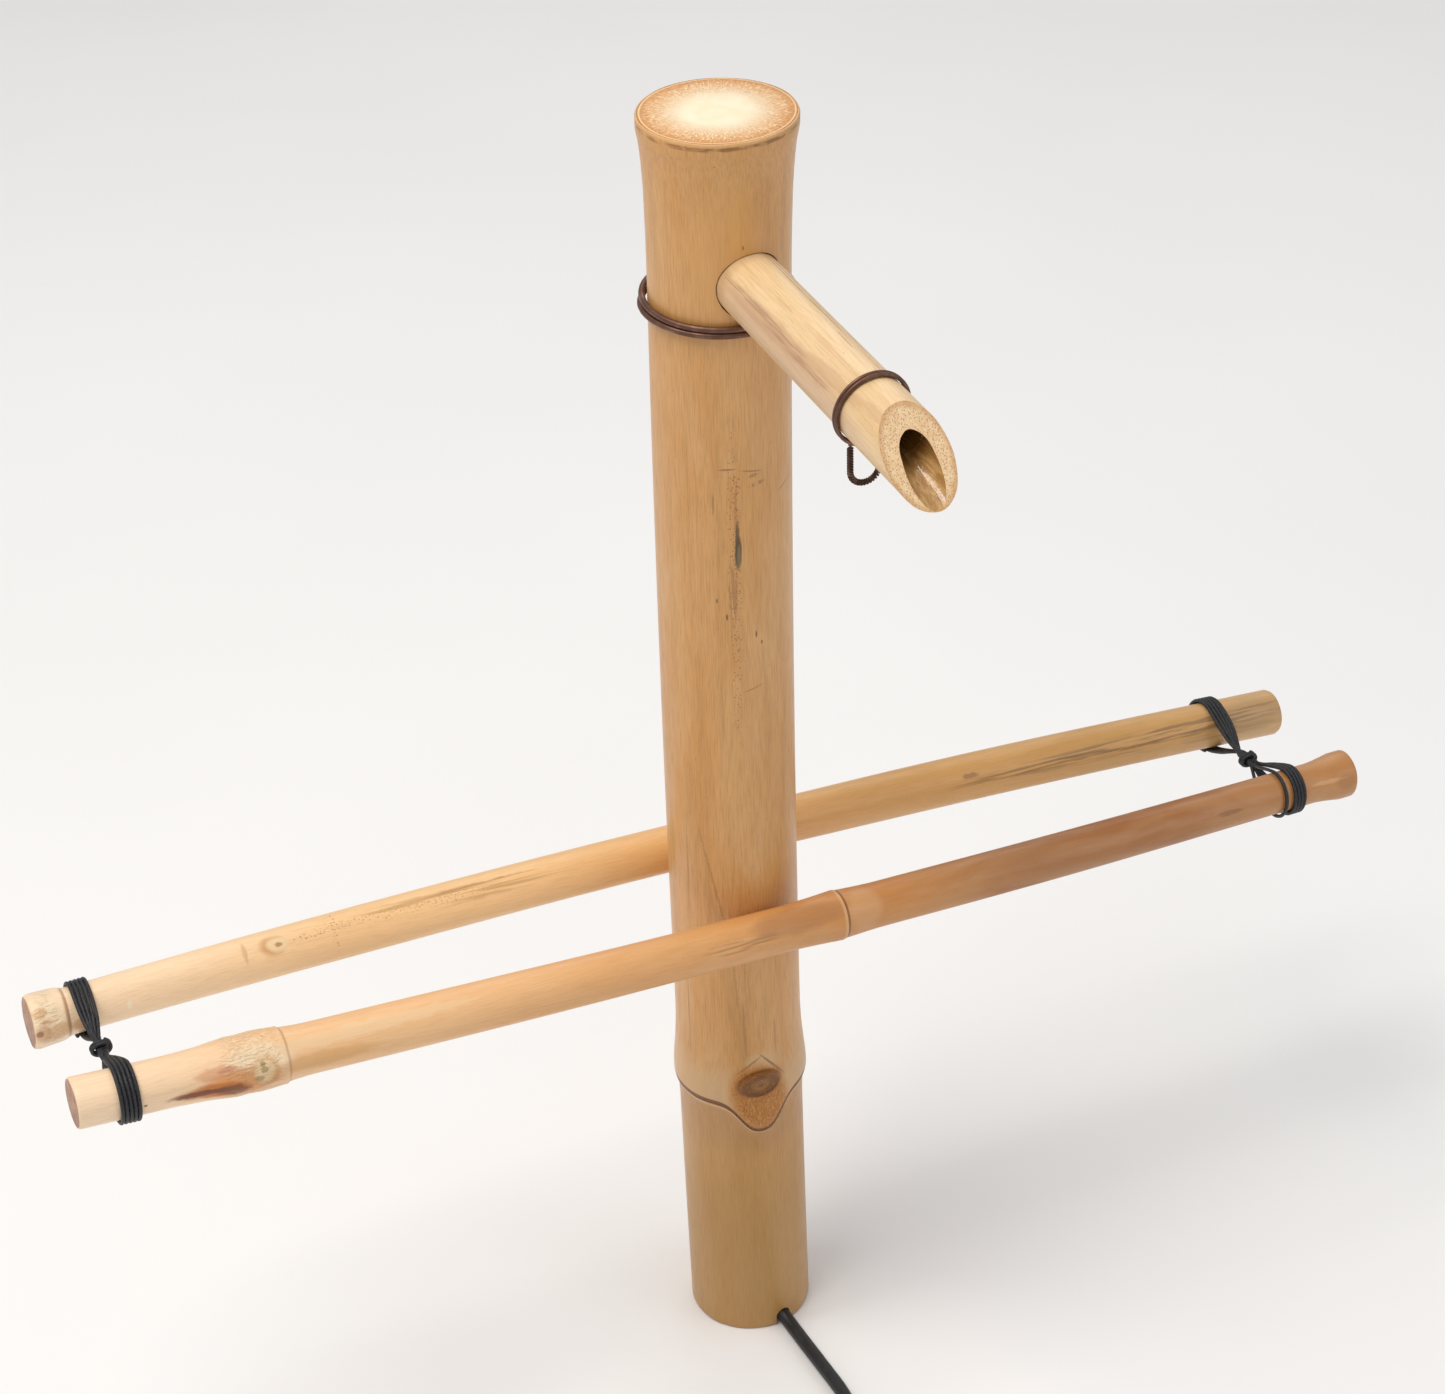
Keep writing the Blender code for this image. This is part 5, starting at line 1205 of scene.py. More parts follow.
def culm_end_material():
    """Sanded end of a culm at its node: cream pith, and bundles that grow redder towards the rim."""
    material, tree, shader = new_material("sanded_culm_end", {"Roughness": 0.62})
    away = node(tree, "TexCoord", {}, "Object")
    away = node(tree, "VectorMath", {0: away, 1: tuple(post_middle(POST_HEIGHT))}, operation="SUBTRACT")
    reach = node(tree, "VectorMath", {0: away}, "Value", operation="LENGTH")
    share = node(tree, "Math", {0: reach, 1: TOP_RADIUS}, operation="DIVIDE")
    # Bundles 0.6 mm wide and 1.8 mm long point to the middle
    spoke = node(tree, "VectorMath", {0: away}, operation="NORMALIZE")
    spoke = node(tree, "VectorMath", {0: spoke, 3: 0.024 / 0.0006}, operation="SCALE")
    outward = node(tree, "Math", {0: reach, 1: 0.0018}, operation="DIVIDE")
    outward = node(tree, "CombineXYZ", {2: outward})
    radial = node(tree, "VectorMath", {0: spoke, 1: outward}, operation="ADD")
    noise = node(tree, "TexNoise", {"Vector": radial, "Scale": 1.0, "Detail": 2.0})
    dashes = fade(tree, noise, 0.48, 0.60)
    dashes = node(tree, "Math", {0: dashes, 1: fade(tree, share, 0.32, 0.62)}, operation="MULTIPLY")
    dots = cells(tree, radial, 0.18, 0.42)
    cloud = grain(tree, UP, 0.006, 0.006, 0.35, 0.65, 4.0)
    colour = layered(
        tree,
        "#F5E6CA",
        ("#EFD8B0", 0.45, cloud),
        ("#D99C5A", 0.95, fade(tree, share, 0.38, 0.90)),
        ("#F4DFB6", 0.72, dashes),
        ("#B06C30", 0.66, dots, fade(tree, share, 0.30, 0.86)),
        ("#C07C42", 0.55, fade(tree, share, 0.80, 0.93)),
        ("#F0D2A0", 0.85, fade(tree, share, 0.930, 0.938, 0.948, 0.956)),
        ("#7E4C26", 0.80, fade(tree, share, 0.958, 0.970)),
    )
    connect(tree, shader, Base_Color=colour)
    relief(tree, shader, (dashes, 0.00010))
    return material


def raw_wall_material():
    """Raw inner wall of the culm: dry, pale and stringy."""
    material, tree, shader = new_material("raw_inner_bamboo", {"Roughness": 0.75})
    fibre = grain(tree, UP, 0.0012, 0.020, 0.35, 0.68)
    connect(tree, shader, Base_Color=layered(tree, "#E3C796", ("#B48A55", 1.0, fibre)))
    relief(tree, shader, (fibre, 0.00012))
    return material


# The spout and its wires


def make_spout(finish, sizes):
    lip = SPOUT_LENGTH + SPOUT_TIP_RADIUS * SPOUT_CUT_SLOPE
    far = lip + CUT_OVERRUN
    places = np.linspace(SPOUT_ROOT, far, SPOUT_ROWS)
    profile = [(0.0, SPOUT_ROOT), *[(float(spout_radius(at)), float(at)) for at in places], (0.0, far)]
    spout = turn_profile("spout_culm", profile, sizes.spout_faces)
    co = points_of(spout)
    angle = np.arctan2(co[:, 1], co[:, 0])
    waver = 0.00007 * (np.sin(4 * angle + 30 * co[:, 2]) + 0.7 * np.sin(9 * angle + 2.0)) - 0.00010
    reach = np.hypot(co[:, 0], co[:, 1])
    co[:, :2] *= np.where(reach > 0.010, 1 + waver / np.maximum(reach, 0.001), 1.0)[:, None]
    put_points(spout, co)
    edit(spout)
    slope = math.atan(SPOUT_CUT_SLOPE)
    plane = (0, math.sin(slope), math.cos(slope))
    bpy.ops.mesh.bisect(plane_co=(0, 0, SPOUT_LENGTH), plane_no=plane, use_fill=True, clear_outer=True)
    bpy.ops.object.mode_set(mode="OBJECT")
    combine(spout, new_rod("spout_bore", SPOUT_BORE_RADIUS, 0.0, far + 0.02, 64))
    drop = SPOUT_TIP_RADIUS - SPOUT_LIP_WALL - SPOUT_GROOVE_RADIUS
    start, end = Vector((0.0, 0.0, lip - GROOVE_RUN)), Vector((0.0, -drop, lip))
    groove = frame_at(start, end - start, (0, 1, 0))
    combine(spout, new_rod("mouth_groove", SPOUT_GROOVE_RADIUS, 0.0, GROOVE_LENGTH, 64, groove))
    put_in(spout, spout_frame())
    finish_mesh(spout, 35)
    _, upper, axis = spout_frame().to_3x3().col
    face_out = (axis * math.cos(slope) + upper * math.sin(slope)).normalized()
    set_materials(spout, spout_material(finish), mouth_material(), wet_and_shaded_bore_material(axis))
    foot = spout_frame().translation
    for face in spout.data.polygons:
        away = face.center - foot
        reach = (away - axis * away.dot(axis)).length
        if face.normal.dot(face_out) > 0.97:
            face.material_index = 1
        elif reach < SPOUT_ROOT_RADIUS - 0.0006:
            face.material_index = 2
    hand_in(spout, POST_BODY, "straw_bamboo", "spout")


# Marks on the spout, in millimetres and degrees: place along, turn from its top to its left,
# half length, half width, colour, strength, roughness and pattern
SPOUT_MARKS = (
    # The first two marks, broad and pinkish on the left side, are partly painted shade over a real streak
    (75, 86, 60, 6.0, "#C9A082", 0.50, 3.0, ""),
    (66, 62, 46, 3.6, "#B98C6C", 0.45, 2.4, ""),
    (58, 56, 34, 1.2, "#98705A", 0.50, 1.2, "streaky"),
    (90, 66, 26, 1.2, "#9C745C", 0.45, 1.2, "streaky"),
    (48, 24, 24, 1.6, "#D2AC7A", 0.45, 1.2, "streaky"),
    (86, 18, 34, 1.2, "#D0A674", 0.40, 1.2, "streaky"),
    (76, -24, 50, 0.50, "#A07248", 0.70, 1.2, "streaky"),
    (66, -34, 44, 0.45, "#A07248", 0.70, 1.2, "streaky"),
    (96, -14, 26, 0.40, "#A87A4E", 0.60, 1.2, "streaky"),
    (112, 48, 20, 2.4, "#C39A74", 0.50, 2.4, ""),
    (140, 40, 14, 2.0, "#C8A078", 0.45, 2.4, ""),
)


def spout_spot(place, degrees):
    """A place on the spout's skin, with the ways along and across it."""
    side, upper, axis = spout_frame().to_3x3().col
    turn = math.radians(degrees)
    out = upper * math.cos(turn) - side * math.sin(turn)
    point = spout_frame().translation + axis * place / 1000 + out * spout_radius(place / 1000)
    return point, axis, out.cross(axis)


def spout_material(finish):
    """Thin pale culm: pinkish-brown streaks run its length, and pinkish painted shade lies along its left
    side.
    """
    material, tree, shader = new_material("straw_bamboo_skin", BAMBOO_GLOSS)
    axis = spout_frame().to_3x3().col[2]
    colour, fibre = bamboo_skin(tree, shader, axis, finish.spout_skin, finish.spout_fibre, "#F0D6AE", 0.85)
    streaks = grain(tree, axis, 0.0008, 0.016, 0.40, 0.58)
    marks = set_out(SPOUT_MARKS, spout_spot)
    colour = marked(tree, colour, marks, {"": (), "streaky": (streaks,)})
    # Painted shade: the spout is darker close to the post, where it goes in
    root = tuple(post_middle(SPOUT_HEIGHT))
    reach = node(tree, "TexCoord", {}, "Object")
    reach = node(tree, "VectorMath", {0: reach, 1: root}, "Value", operation="DISTANCE")
    colour = layered(tree, colour, ("#A8835A", 0.35, fade(tree, reach, 0.036, 0.030)))
    connect(tree, shader, Base_Color=colour)
    relief(tree, shader, (fibre, 0.00004))
    return material


def mouth_material():
    """Sawn oblique cut: pale ground, stippled with the ends of its bundles, browner at the skin."""
    material, tree, shader = new_material("stippled_cut_face", {"Roughness": 0.55})
    frame = spout_frame()
    axis = frame.to_3x3().col[2]
    reach = axis_reach(tree, frame.translation, axis)
    dots = cells(tree, stretched(tree, axis, 0.00075, 0.0012), 0.20, 0.42)
    fine = grain(tree, axis, 0.00050, 0.0010, 0.52, 0.64, 2.0)
    cloud = grain(tree, axis, 0.004, 0.006, 0.35, 0.65)
    colour = layered(
        tree,
        "#EFCFA2",
        ("#E0B785", 0.70, cloud),
        ("#FBE6C4", 0.55, fine),
        ("#A9743F", 0.62, dots),
        ("#C4915C", 0.60, fade(tree, reach, 0.0112, 0.0134)),
        ("#E9BE8C", 0.55, fade(tree, reach, 0.0080, 0.0070)),
    )
    connect(tree, shader, Base_Color=colour)
    relief(tree, shader, (dots, 0.00010))
    return material


def wet_and_shaded_bore_material(axis):
    """Inner wall that water runs over: olive-brown in the bore, darkened partly by painted shade deep
    inside, pale and glossy in the mouth.
    """
    gloss = {"Roughness": 0.20, "Coat Weight": 0.6, "Coat Roughness": 0.06}
    material, tree, shader = new_material("wet_and_shaded_spout_bore", gloss)
    fibre = grain(tree, axis, 0.0012, 0.012, 0.38, 0.64)
    stain = grain(tree, axis, 0.0035, 0.009, 0.42, 0.60, 4.0, 0.5)
    place = node(tree, "TexCoord", {}, "Object")
    place = node(tree, "VectorMath", {0: place, 1: tuple(spout_frame().translation)}, operation="SUBTRACT")
    along = node(tree, "VectorMath", {0: place, 1: tuple(axis)}, "Value", operation="DOT_PRODUCT")
    # The dark olive-brown ground is partly painted shade deep in the bore
    colour = layered(
        tree,
        "#765020",
        ("#AC844C", 0.80, fibre),
        ("#D0A46A", 0.80, fade(tree, along, 0.144, 0.158)),
        ("#986A30", 0.60, stain),
    )
    connect(tree, shader, Base_Color=colour)
    relief(tree, shader, (fibre, 0.00015))
    return material


def wire_material(name, ground):
    """Weathered copper wire: brown patina, pinker and brighter where it was rubbed."""
    material, tree, shader = new_material(name, {"Metallic": 0.55})
    rub = grain(tree, UP, 0.006, 0.006, 0.44, 0.70, 2.0)
    connect(
        tree,
        shader,
        Base_Color=layered(tree, ground, ("#96705C", 0.45, rub)),
        Roughness=node(tree, "MapRange", {0: rub, 3: 0.46, 4: 0.32}),
    )
    return material


def make_post_wire(finish, sizes):
    """Two turns round the post. They lie one on the other and stand off a little at the left."""
    points = []
    for i in range(2 * POST_WIRE_STEPS + 1):
        turns = i / POST_WIRE_STEPS
        angle = POST_WIRE_START + 2 * math.pi * turns
        left = math.exp(-(((math.degrees(angle) % 360 - 180) / POST_WIRE_SLACK_DEGREES) ** 2))
        upper = POST_WIRE_UPPER + 0.0014 * math.cos(angle - math.radians(120))
        lower = POST_WIRE_LOWER + 0.0006 * math.cos(angle - math.radians(190))
        share = float(smooth_step(turns, 0.78, 1.16))
        height = upper + (lower - upper) * share
        stand_off = POST_WIRE_SEAT + left * (0.0004 + 0.0006 * share)
        reach = plain_radius(height) + sizes.post_wire / 2 + stand_off
        points.append(post_middle(height) + compass(angle) * reach)
    wire = to_mesh(draw_curve("post_wire_turns", points, sizes.post_wire, 4, 3))
    set_materials(wire, wire_material("weathered_copper_wire", finish.wire))
    hand_in(wire, POST_BODY, "dark_copper", "post_wire")


def spout_wire_points(thickness):
    """Two turns round the spout, in its own frame, with both ends turned down."""
    steps, pitch = SPOUT_WIRE_STEPS, thickness + SPOUT_WIRE_GAP
    radius = spout_radius(SPOUT_WIRE_PLACE) + thickness / 2 + SPOUT_WIRE_SEAT
    start = math.asin((EYE_SHIFT + EYE_RADIUS) / radius)
    sweep = math.asin((EYE_SHIFT - EYE_RADIUS) / radius) + 4 * math.pi - start
    points = []
    for i in range(steps + 1):
        angle = start + sweep * i / steps
        along = pitch * (i / steps - 0.5) * sweep / (2 * math.pi)
        points.append(Vector((-radius * math.sin(angle), -radius * math.cos(angle), along)))
    drop = Vector((0.0, -WIRE_END_DROP, 0.0))
    return [points[0] + drop, *points, points[-1] + drop]


def eye_points(ends, thickness):
    """A close coil down one leg, round the bottom and up the other."""
    centre = EYE_RADIUS + 0.0015 - EYE_DROP
    legs = [end.y - 0.0008 - centre for end in ends]
    total = legs[0] + math.pi * EYE_RADIUS + legs[1]
    steps = EYE_COIL_STEPS * math.floor(total / (thickness * EYE_COIL_SPACING))
    winding = EYE_COIL_RADIUS - thickness / 2
    points = []
    for i in range(steps + 1):
        share = i / steps
        along = total * share
        if along < legs[0]:
            out = Vector((-1.0, 0.0, 0.0))
            place = Vector((ends[0].x, centre + legs[0] - along, 0.0))
        elif along < total - legs[1]:
            turn = (along - legs[0]) / EYE_RADIUS
            out = Vector((-math.cos(turn), -math.sin(turn), 0.0))
            place = Vector((-EYE_SHIFT, centre, 0.0)) + out * EYE_RADIUS
        else:
            out = Vector((1.0, 0.0, 0.0))
            place = Vector((ends[1].x, centre + along - total + legs[1], 0.0))
        angle = 2 * math.pi * i / EYE_COIL_STEPS
        place.z = ends[0].z + (ends[1].z - ends[0].z) * share
        points.append(place + out * winding * math.cos(angle) + UP * winding * math.sin(angle))
    return points


def make_spout_wire(finish, sizes):
    frame = spout_frame() @ Matrix.Translation((0.0, 0.0, SPOUT_WIRE_PLACE))
    turns = spout_wire_points(sizes.spout_wire)
    coil = eye_points((turns[0], turns[-1]), sizes.eye_wire)
    for name, points, thickness, sides, replaced, shade in (
        ("spout_wire_turns", turns, sizes.spout_wire, 4, "spout_wire", finish.wire),
        ("wire_eye_coil", coil, sizes.eye_wire, 2, "spout_wire_eye", finish.eye),
    ):
        wire = to_mesh(draw_curve(name, [frame @ point for point in points], thickness, sides, 2))
        set_materials(wire, wire_material(f"{name}_copper", shade))
        hand_in(wire, POST_BODY, "dark_copper", replaced)


# The arms


def make_arm_shell(name, faces):
    left, right = ARMS[name][2:4]
    half = ARM_CLOSE_HALF
    close = [np.arange(at - half, at + half, ARM_CLOSE_STEP) for at in ARM_CLOSE_ROWS[name]]
    rows = np.concatenate([np.arange(-left + 0.003, right - 0.002, ARM_ROW_STEP), *close])
    rows = np.unique(np.round(rows[(rows > -left + 0.0012) & (rows < right - 0.0012)], 5))
    radii = arm_radius(name, rows) + arm_swell(name, rows)
    start, end = (float(arm_radius(name, at) + arm_swell(name, at)) for at in (-left, right))
    worn = ARM_WORN[name]
    profile = [(0.0, -left), (start - 0.0006, -left)]
    profile += [(start - 0.0002, -left + 0.0003), (start, -left + 0.0009)]
    profile += [(float(radius), float(at)) for radius, at in zip(radii, rows)]
    profile += [(end, right - worn), (end - 0.3 * worn, right - 0.4 * worn)]
    profile += [(end - worn, right), (0.0, right)]
    arm = turn_profile(name.replace("arm", "cane"), profile, faces)
    co = points_of(arm)
    angle = np.arctan2(co[:, 1], co[:, 0])
    reach = np.hypot(co[:, 0], co[:, 1])
    waver = np.sin(2 * angle + 22 * co[:, 2]) + 0.6 * np.sin(5 * angle - 31 * co[:, 2])
    waver = 0.00012 * waver - 0.00012
    swell = arm_swell(name, co[:, 2]) / 0.0018
    knobs = 0.00034 * swell * np.sin(3 * angle + 160 * co[:, 2]) * np.sin(7 * angle - 230 * co[:, 2] + 1.0)
    knobs *= co[:, 2] < -0.15
    co[:, :2] *= np.where(reach > 0.006, 1 + (waver + knobs) / np.maximum(reach, 0.001), 1.0)[:, None]
    mark_points(arm, "along", co[:, 2])
    co[:, 1] -= arm_bow(name, co[:, 2])
    put_points(arm, co)
    put_in(arm, arm_frame(name))
    finish_mesh(arm, 40)
    return arm


# Marks on the arms, in millimetres and degrees: place along, turn from the top to the front,
# half length, half width, colour, strength, roughness and pattern
ARM_MARKS = {
    "front_arm": (
        (-232, 62, 13.0, 9.0, "#F8E3C0", 0.70, 4.0, ""),
        (-240, 92, 16.0, 6.0, "#DC8A30", 0.75, 5.0, ""),
        (-251, 96, 14.0, 3.6, "#C26A1C", 0.85, 3.0, ""),
        (-256, 96, 13.0, 1.6, "#6A2E04", 0.85, 2.4, ""),
        (-243, 102, 7.0, 3.0, "#783A08", 0.80, 3.6, ""),
        (-249, 57, 8.5, 2.6, "#D08A62", 0.55, 3.4, ""),
        (-245, 55, 4.0, 1.2, "#B06A48", 0.45, 2.4, ""),
        (-237, 66, 7.0, 2.0, "#C98F5E", 0.55, 3.0, "streaky"),
        (-229.5, 75, 5.6, 6.6, "#CC8E48", 0.65, 1.6, ""),
        (-230.2, 75, 4.2, 5.2, "#F1D6A8", 0.80, 1.6, ""),
        (-230.6, 59, 1.1, 1.3, "#8A6A38", 0.60, 1.6, ""),
        (-230.2, 71, 1.5, 1.4, "#8A6A38", 0.55, 1.6, ""),
        (-232.5, 88, 2.0, 1.3, "#9A703A", 0.60, 1.6, ""),
        (-205, 82, 22.0, 3.4, "#DBA565", 0.60, 3.0, ""),
        (-279, 95, 0.8, 0.6, "#5E3C1E", 0.80, 0.2, ""),
        (-190, 35, 50.0, 3.0, "#F3D6AC", 0.45, 4.0, ""),
        (-18, 62, 16.0, 3.0, "#7E6038", 0.45, 3.0, "streaky"),
        (10, 35, 22.0, 6.0, "#A26C3E", 0.55, 4.0, ""),
        (41, 50, 8.0, 9.0, "#D8A878", 0.50, 3.0, ""),
        (228, 66, 7.0, 1.2, "#7E5230", 0.55, 1.4, "streaky"),
        (283, 60, 9.0, 1.0, "#DDAA78", 0.60, 1.4, ""),
        (292, 70, 5.0, 4.0, "#A8713F", 0.50, 2.0, ""),
    ),
    "rear_arm": (
        (-300, 60, 7.0, 9.0, "#F3DCB8", 0.70, 4.0, ""),
        (-292.6, 60, 0.8, 12.0, "#B98250", 0.60, 1.6, ""),
        (-304.0, 40, 3.0, 2.4, "#D09250", 0.45, 2.0, ""),
        (-301.0, 60, 4.0, 1.0, "#B8763A", 0.60, 2.4, "streaky"),
        (-304.0, 84, 3.0, 4.0, "#C68240", 0.45, 2.0, ""),
        (-305.4, 82, 1.4, 1.6, "#8A4C1C", 0.65, 1.4, ""),
        (-297, 88, 6.0, 3.4, "#E0A060", 0.50, 2.0, ""),
        (-287, 92, 5.0, 3.0, "#D08D52", 0.55, 2.0, ""),
        (-266.4, 78, 1.0, 2.0, "#FBEBCB", 0.80, 0.6, ""),
        (-214, 33, 1.0, 4.6, "#CFA070", 0.55, 1.0, ""),
        (-201.4, 33, 5.8, 4.4, "#C48C4E", 0.65, 1.8, ""),
        (-199.6, 33, 4.6, 3.2, "#F1D6A8", 0.85, 1.6, ""),
        (-199.2, 35, 1.6, 1.2, "#A0703C", 0.75, 1.4, ""),
        (-186, 34, 9.0, 1.0, "#9C6C38", 0.75, 1.6, "dotted"),
        (-173.6, 34, 1.6, 8.0, "#B07C46", 0.65, 2.4, "dotted"),
        (-140, 32, 44.0, 2.4, "#B88850", 0.55, 3.0, "dotted"),
        (-120, 32, 50.0, 3.6, "#B48650", 0.55, 3.0, "long"),
        (-98, 22, 30.0, 1.4, "#A67640", 0.50, 2.0, "long"),
        (134, 51, 4.0, 1.4, "#94683C", 0.65, 2.0, ""),
        (220, 60, 92.0, 4.2, "#94744A", 0.60, 2.0, "long"),
        (212, 62, 80.0, 1.8, "#806040", 0.60, 1.6, "long"),
        (240, 46, 60.0, 2.0, "#92724A", 0.55, 1.6, "long"),
        (262, 38, 36.0, 1.4, "#967650", 0.50, 1.6, "long"),
        (255, 80, 50.0, 2.4, "#A88658", 0.45, 1.6, "long"),
        (282, 50, 18.0, 8.0, "#8E7656", 0.40, 4.0, ""),
    ),
}

# Colours along the arms, at places in millimetres. The palest at the left ends are partly painted highlight,
# and the darker browns towards the right partly painted shade.
ARM_DRIFT = {
    "front_arm": (
        "#FDDEBA",
        (-300, -190, "#F2C08A"),
        (-180, -40, "#DEA264"),
        (-40, 50, "#C8843E"),
        (50, 130, "#A0622A"),
        (210, 290, "#B87C42"),
    ),
    "rear_arm": (
        "#FDE0BC",
        (-290, -150, "#F5CA92"),
        (-120, 20, "#EAB472"),
        (30, 120, "#DCA660"),
        (120, 210, "#CC9C5C"),
        (230, 300, "#CCA26C"),
    ),
}
ARM_RINGS = {"front_arm": ((-219.2, 0.30), (32.2, 0.80)), "rear_arm": ((-292.2, 0.35),)}
ARM_SCRATCHES = {"front_arm": (-250, -219), "rear_arm": (-310, -293)}


def arm_material(name):
    """Cane skin whose colour drifts along the arm, partly as painted highlight at the left end and painted
    shade towards the right, with its scars, nodes and streaks.
    """
    material, tree, shader = new_material(f"{name}_cane_skin", BAMBOO_GLOSS)
    axis = arm_axis(name)
    along = node(tree, "Attribute", {}, "Fac", attribute_name="along")
    along = node(tree, "Math", {0: along, 1: 1000.0}, operation="MULTIPLY")
    ground, *stops = ARM_DRIFT[name]
    # The drift is partly painted: highlight at the left ends, shade towards the right
    drifts = [(shade, 1.0, fade(tree, along, low, high)) for low, high, shade in stops]
    drift = layered(tree, ground, *drifts)
    colour, fibre = bamboo_skin(tree, shader, axis, drift, "#A0662C", "#F6D2A0", 0.36)
    streaks = grain(tree, axis, 0.0011, 0.016, 0.40, 0.58, 4.0, 0.4)
    long_streaks = grain(tree, axis, 0.0013, 0.050, 0.42, 0.60, 3.0)
    dots = cells(tree, stretched(tree, axis, 0.0010, 0.0015), 0.20, 0.42)
    marks = set_out(ARM_MARKS[name], lambda place, degrees: on_arm(name, place / 1000, degrees))
    patterns = {"": (), "dotted": (dots,), "streaky": (streaks,), "long": (long_streaks,)}
    colour = marked(tree, colour, marks, patterns)
    for place, strength in ARM_RINGS[name]:
        line = fade(tree, along, place - 0.8, place - 0.3, place + 0.3, place + 0.8)
        lip = fade(tree, along, place - 2.4, place - 1.4, place - 0.9, place - 0.5)
        colour = layered(tree, colour, ("#7A4A22", strength, line), ("#EBC594", 0.5 * strength, lip))
    connect(tree, shader, Base_Color=colour)
    scratch = grain(tree, axis, 0.0012, 0.0030, 0.40, 0.66, 4.0)
    low, high = ARM_SCRATCHES[name]
    worn = fade(tree, along, low, low + 8, high - 6, high)
    rough = node(tree, "Math", {0: scratch, 1: worn}, operation="MULTIPLY")
    relief(tree, shader, (fibre, 0.00004), (rough, 0.00035))
    return material


def arm_end_material(name):
    """Sawn end of a cane, greyed by weather."""
    material, tree, shader = new_material(f"{name}_sawn_end", {"Roughness": 0.7})
    axis = arm_axis(name)
    dots = cells(tree, stretched(tree, axis, 0.0009, 0.0009), 0.20, 0.50)
    cloud = grain(tree, axis, 0.004, 0.004, 0.35, 0.65)
    colour = layered(tree, "#C9A189", ("#B08A76", 1.0, cloud), ("#8A6450", 0.4, dots))
    connect(tree, shader, Base_Color=colour)
    relief(tree, shader, (dots, 0.00010))
    return material


def make_arm(name, sizes):
    arm = make_arm_shell(name, sizes.arm_faces)
    set_materials(arm, arm_material(name), arm_end_material(name))
    axis = arm_axis(name)
    middle = arm_frame(name).translation
    left, right = ARMS[name][2:4]
    for face in arm.data.polygons:
        at = (face.center - middle).dot(axis)
        if abs(face.normal.dot(axis)) > 0.95 and (at < -left + 0.001 or at > right - 0.001):
            face.material_index = 1
    hand_in(arm, ARMS_BODY, "arm_bamboo", name)


# The lashings


def lashing_points(name, thickness, pitch):
    """One cord in figures of eight round both arms, drawn together at its waist, then round the waist."""
    centre = LASHING_PLACES[name]
    rear, front = arm_middle("rear_arm", centre), arm_middle("front_arm", centre)
    out = (front - rear).normalized()
    along = arm_axis("front_arm")
    up = along.cross(out).normalized()
    if up.z < 0:
        up.negate()
    apart = (front - rear).length
    arms = ("rear_arm", "front_arm")
    radii = [float(arm_radius(arm, centre)) + thickness / 2 + LASHING_SEAT for arm in arms]
    cross = math.asin(sum(radii) / apart)
    sweep = math.pi + 2 * cross
    middle = rear + out * apart * radii[0] / sum(radii)
    rear_spread, front_spread = LASHING_SPREAD[name]

    def wrap(arm, radius, strand, start, step):
        found = []
        for i in range(WRAP_STEPS + 1):
            angle = start + step * i / WRAP_STEPS
            spoke = out * math.cos(angle) + up * math.sin(angle)
            found.append(arm_middle(arm, centre + strand * pitch) + spoke * radius)
        return found

    def way(start, end, turn, side):
        """Straight across from arm to arm, drawn into a bundle at the waist."""
        found = []
        angle = 2 * math.pi * turn / LASHING_TURNS
        bundle = along * (BUNDLE_SHIFT * side + BUNDLE_RADIUS * math.cos(angle))
        bundle = bundle + up * BUNDLE_RADIUS * math.sin(angle)
        for i in range(1, WAY_STEPS):
            share = i / WAY_STEPS
            line = start.lerp(end, share)
            pinch = math.exp(-(((share - 0.5) / PINCH_SHARE) ** 2))
            found.append(line.lerp(middle + bundle + out * (line - middle).dot(out), pinch))
        return found

    points = []
    for turn in range(LASHING_TURNS):
        over = wrap("rear_arm", radii[0], rear_spread[turn], cross - math.pi / 2, -sweep)
        under = wrap("front_arm", radii[1], front_spread[turn], -(math.pi / 2 + cross), sweep)
        points += [*over, *way(over[-1], under[0], turn, -1), *under]
        if turn < LASHING_TURNS - 1:
            back = wrap("rear_arm", radii[0], rear_spread[turn + 1], cross - math.pi / 2, -sweep)
            points += way(under[-1], back[0], turn, 1)
        else:
            points += way(under[-1], points[0], turn, 1)[: WAY_STEPS // 2]
    for i in range(2 * WAIST_STEPS + 1):
        angle = WAIST_START + 2 * math.pi * i / WAIST_STEPS
        place = pitch * 2 * (0.5 - i / (2 * WAIST_STEPS))
        at = middle + along * WAIST_ALONG * math.cos(angle) + up * WAIST_UP * math.sin(angle)
        points.append(at + out * place)
    return points


def lashing_material(finish):
    """Waxed braided cord: black with a dull shine on its fine strands."""
    material, tree, shader = new_material("waxed_braided_cord", {"Roughness": 0.50})
    strands = cells(tree, stretched(tree, UP, 0.0006, 0.0006), 0.15, 0.60)
    connect(tree, shader, Base_Color=layered(tree, finish.lashing, ("#34363C", 1.0, strands)))
    relief(tree, shader, (strands, 0.00012))
    return material


def make_lashing(name, finish, sizes):
    points = lashing_points(name, sizes.lashing_cord, sizes.lashing_pitch)
    lashing = to_mesh(draw_curve(name.replace("lashing", "lashing_cord"), points, sizes.lashing_cord, 2, 2))
    set_materials(lashing, lashing_material(finish))
    hand_in(lashing, ARMS_BODY, "waxed_cord", name)


# The pump, its tube and the pins keep their CAD shapes


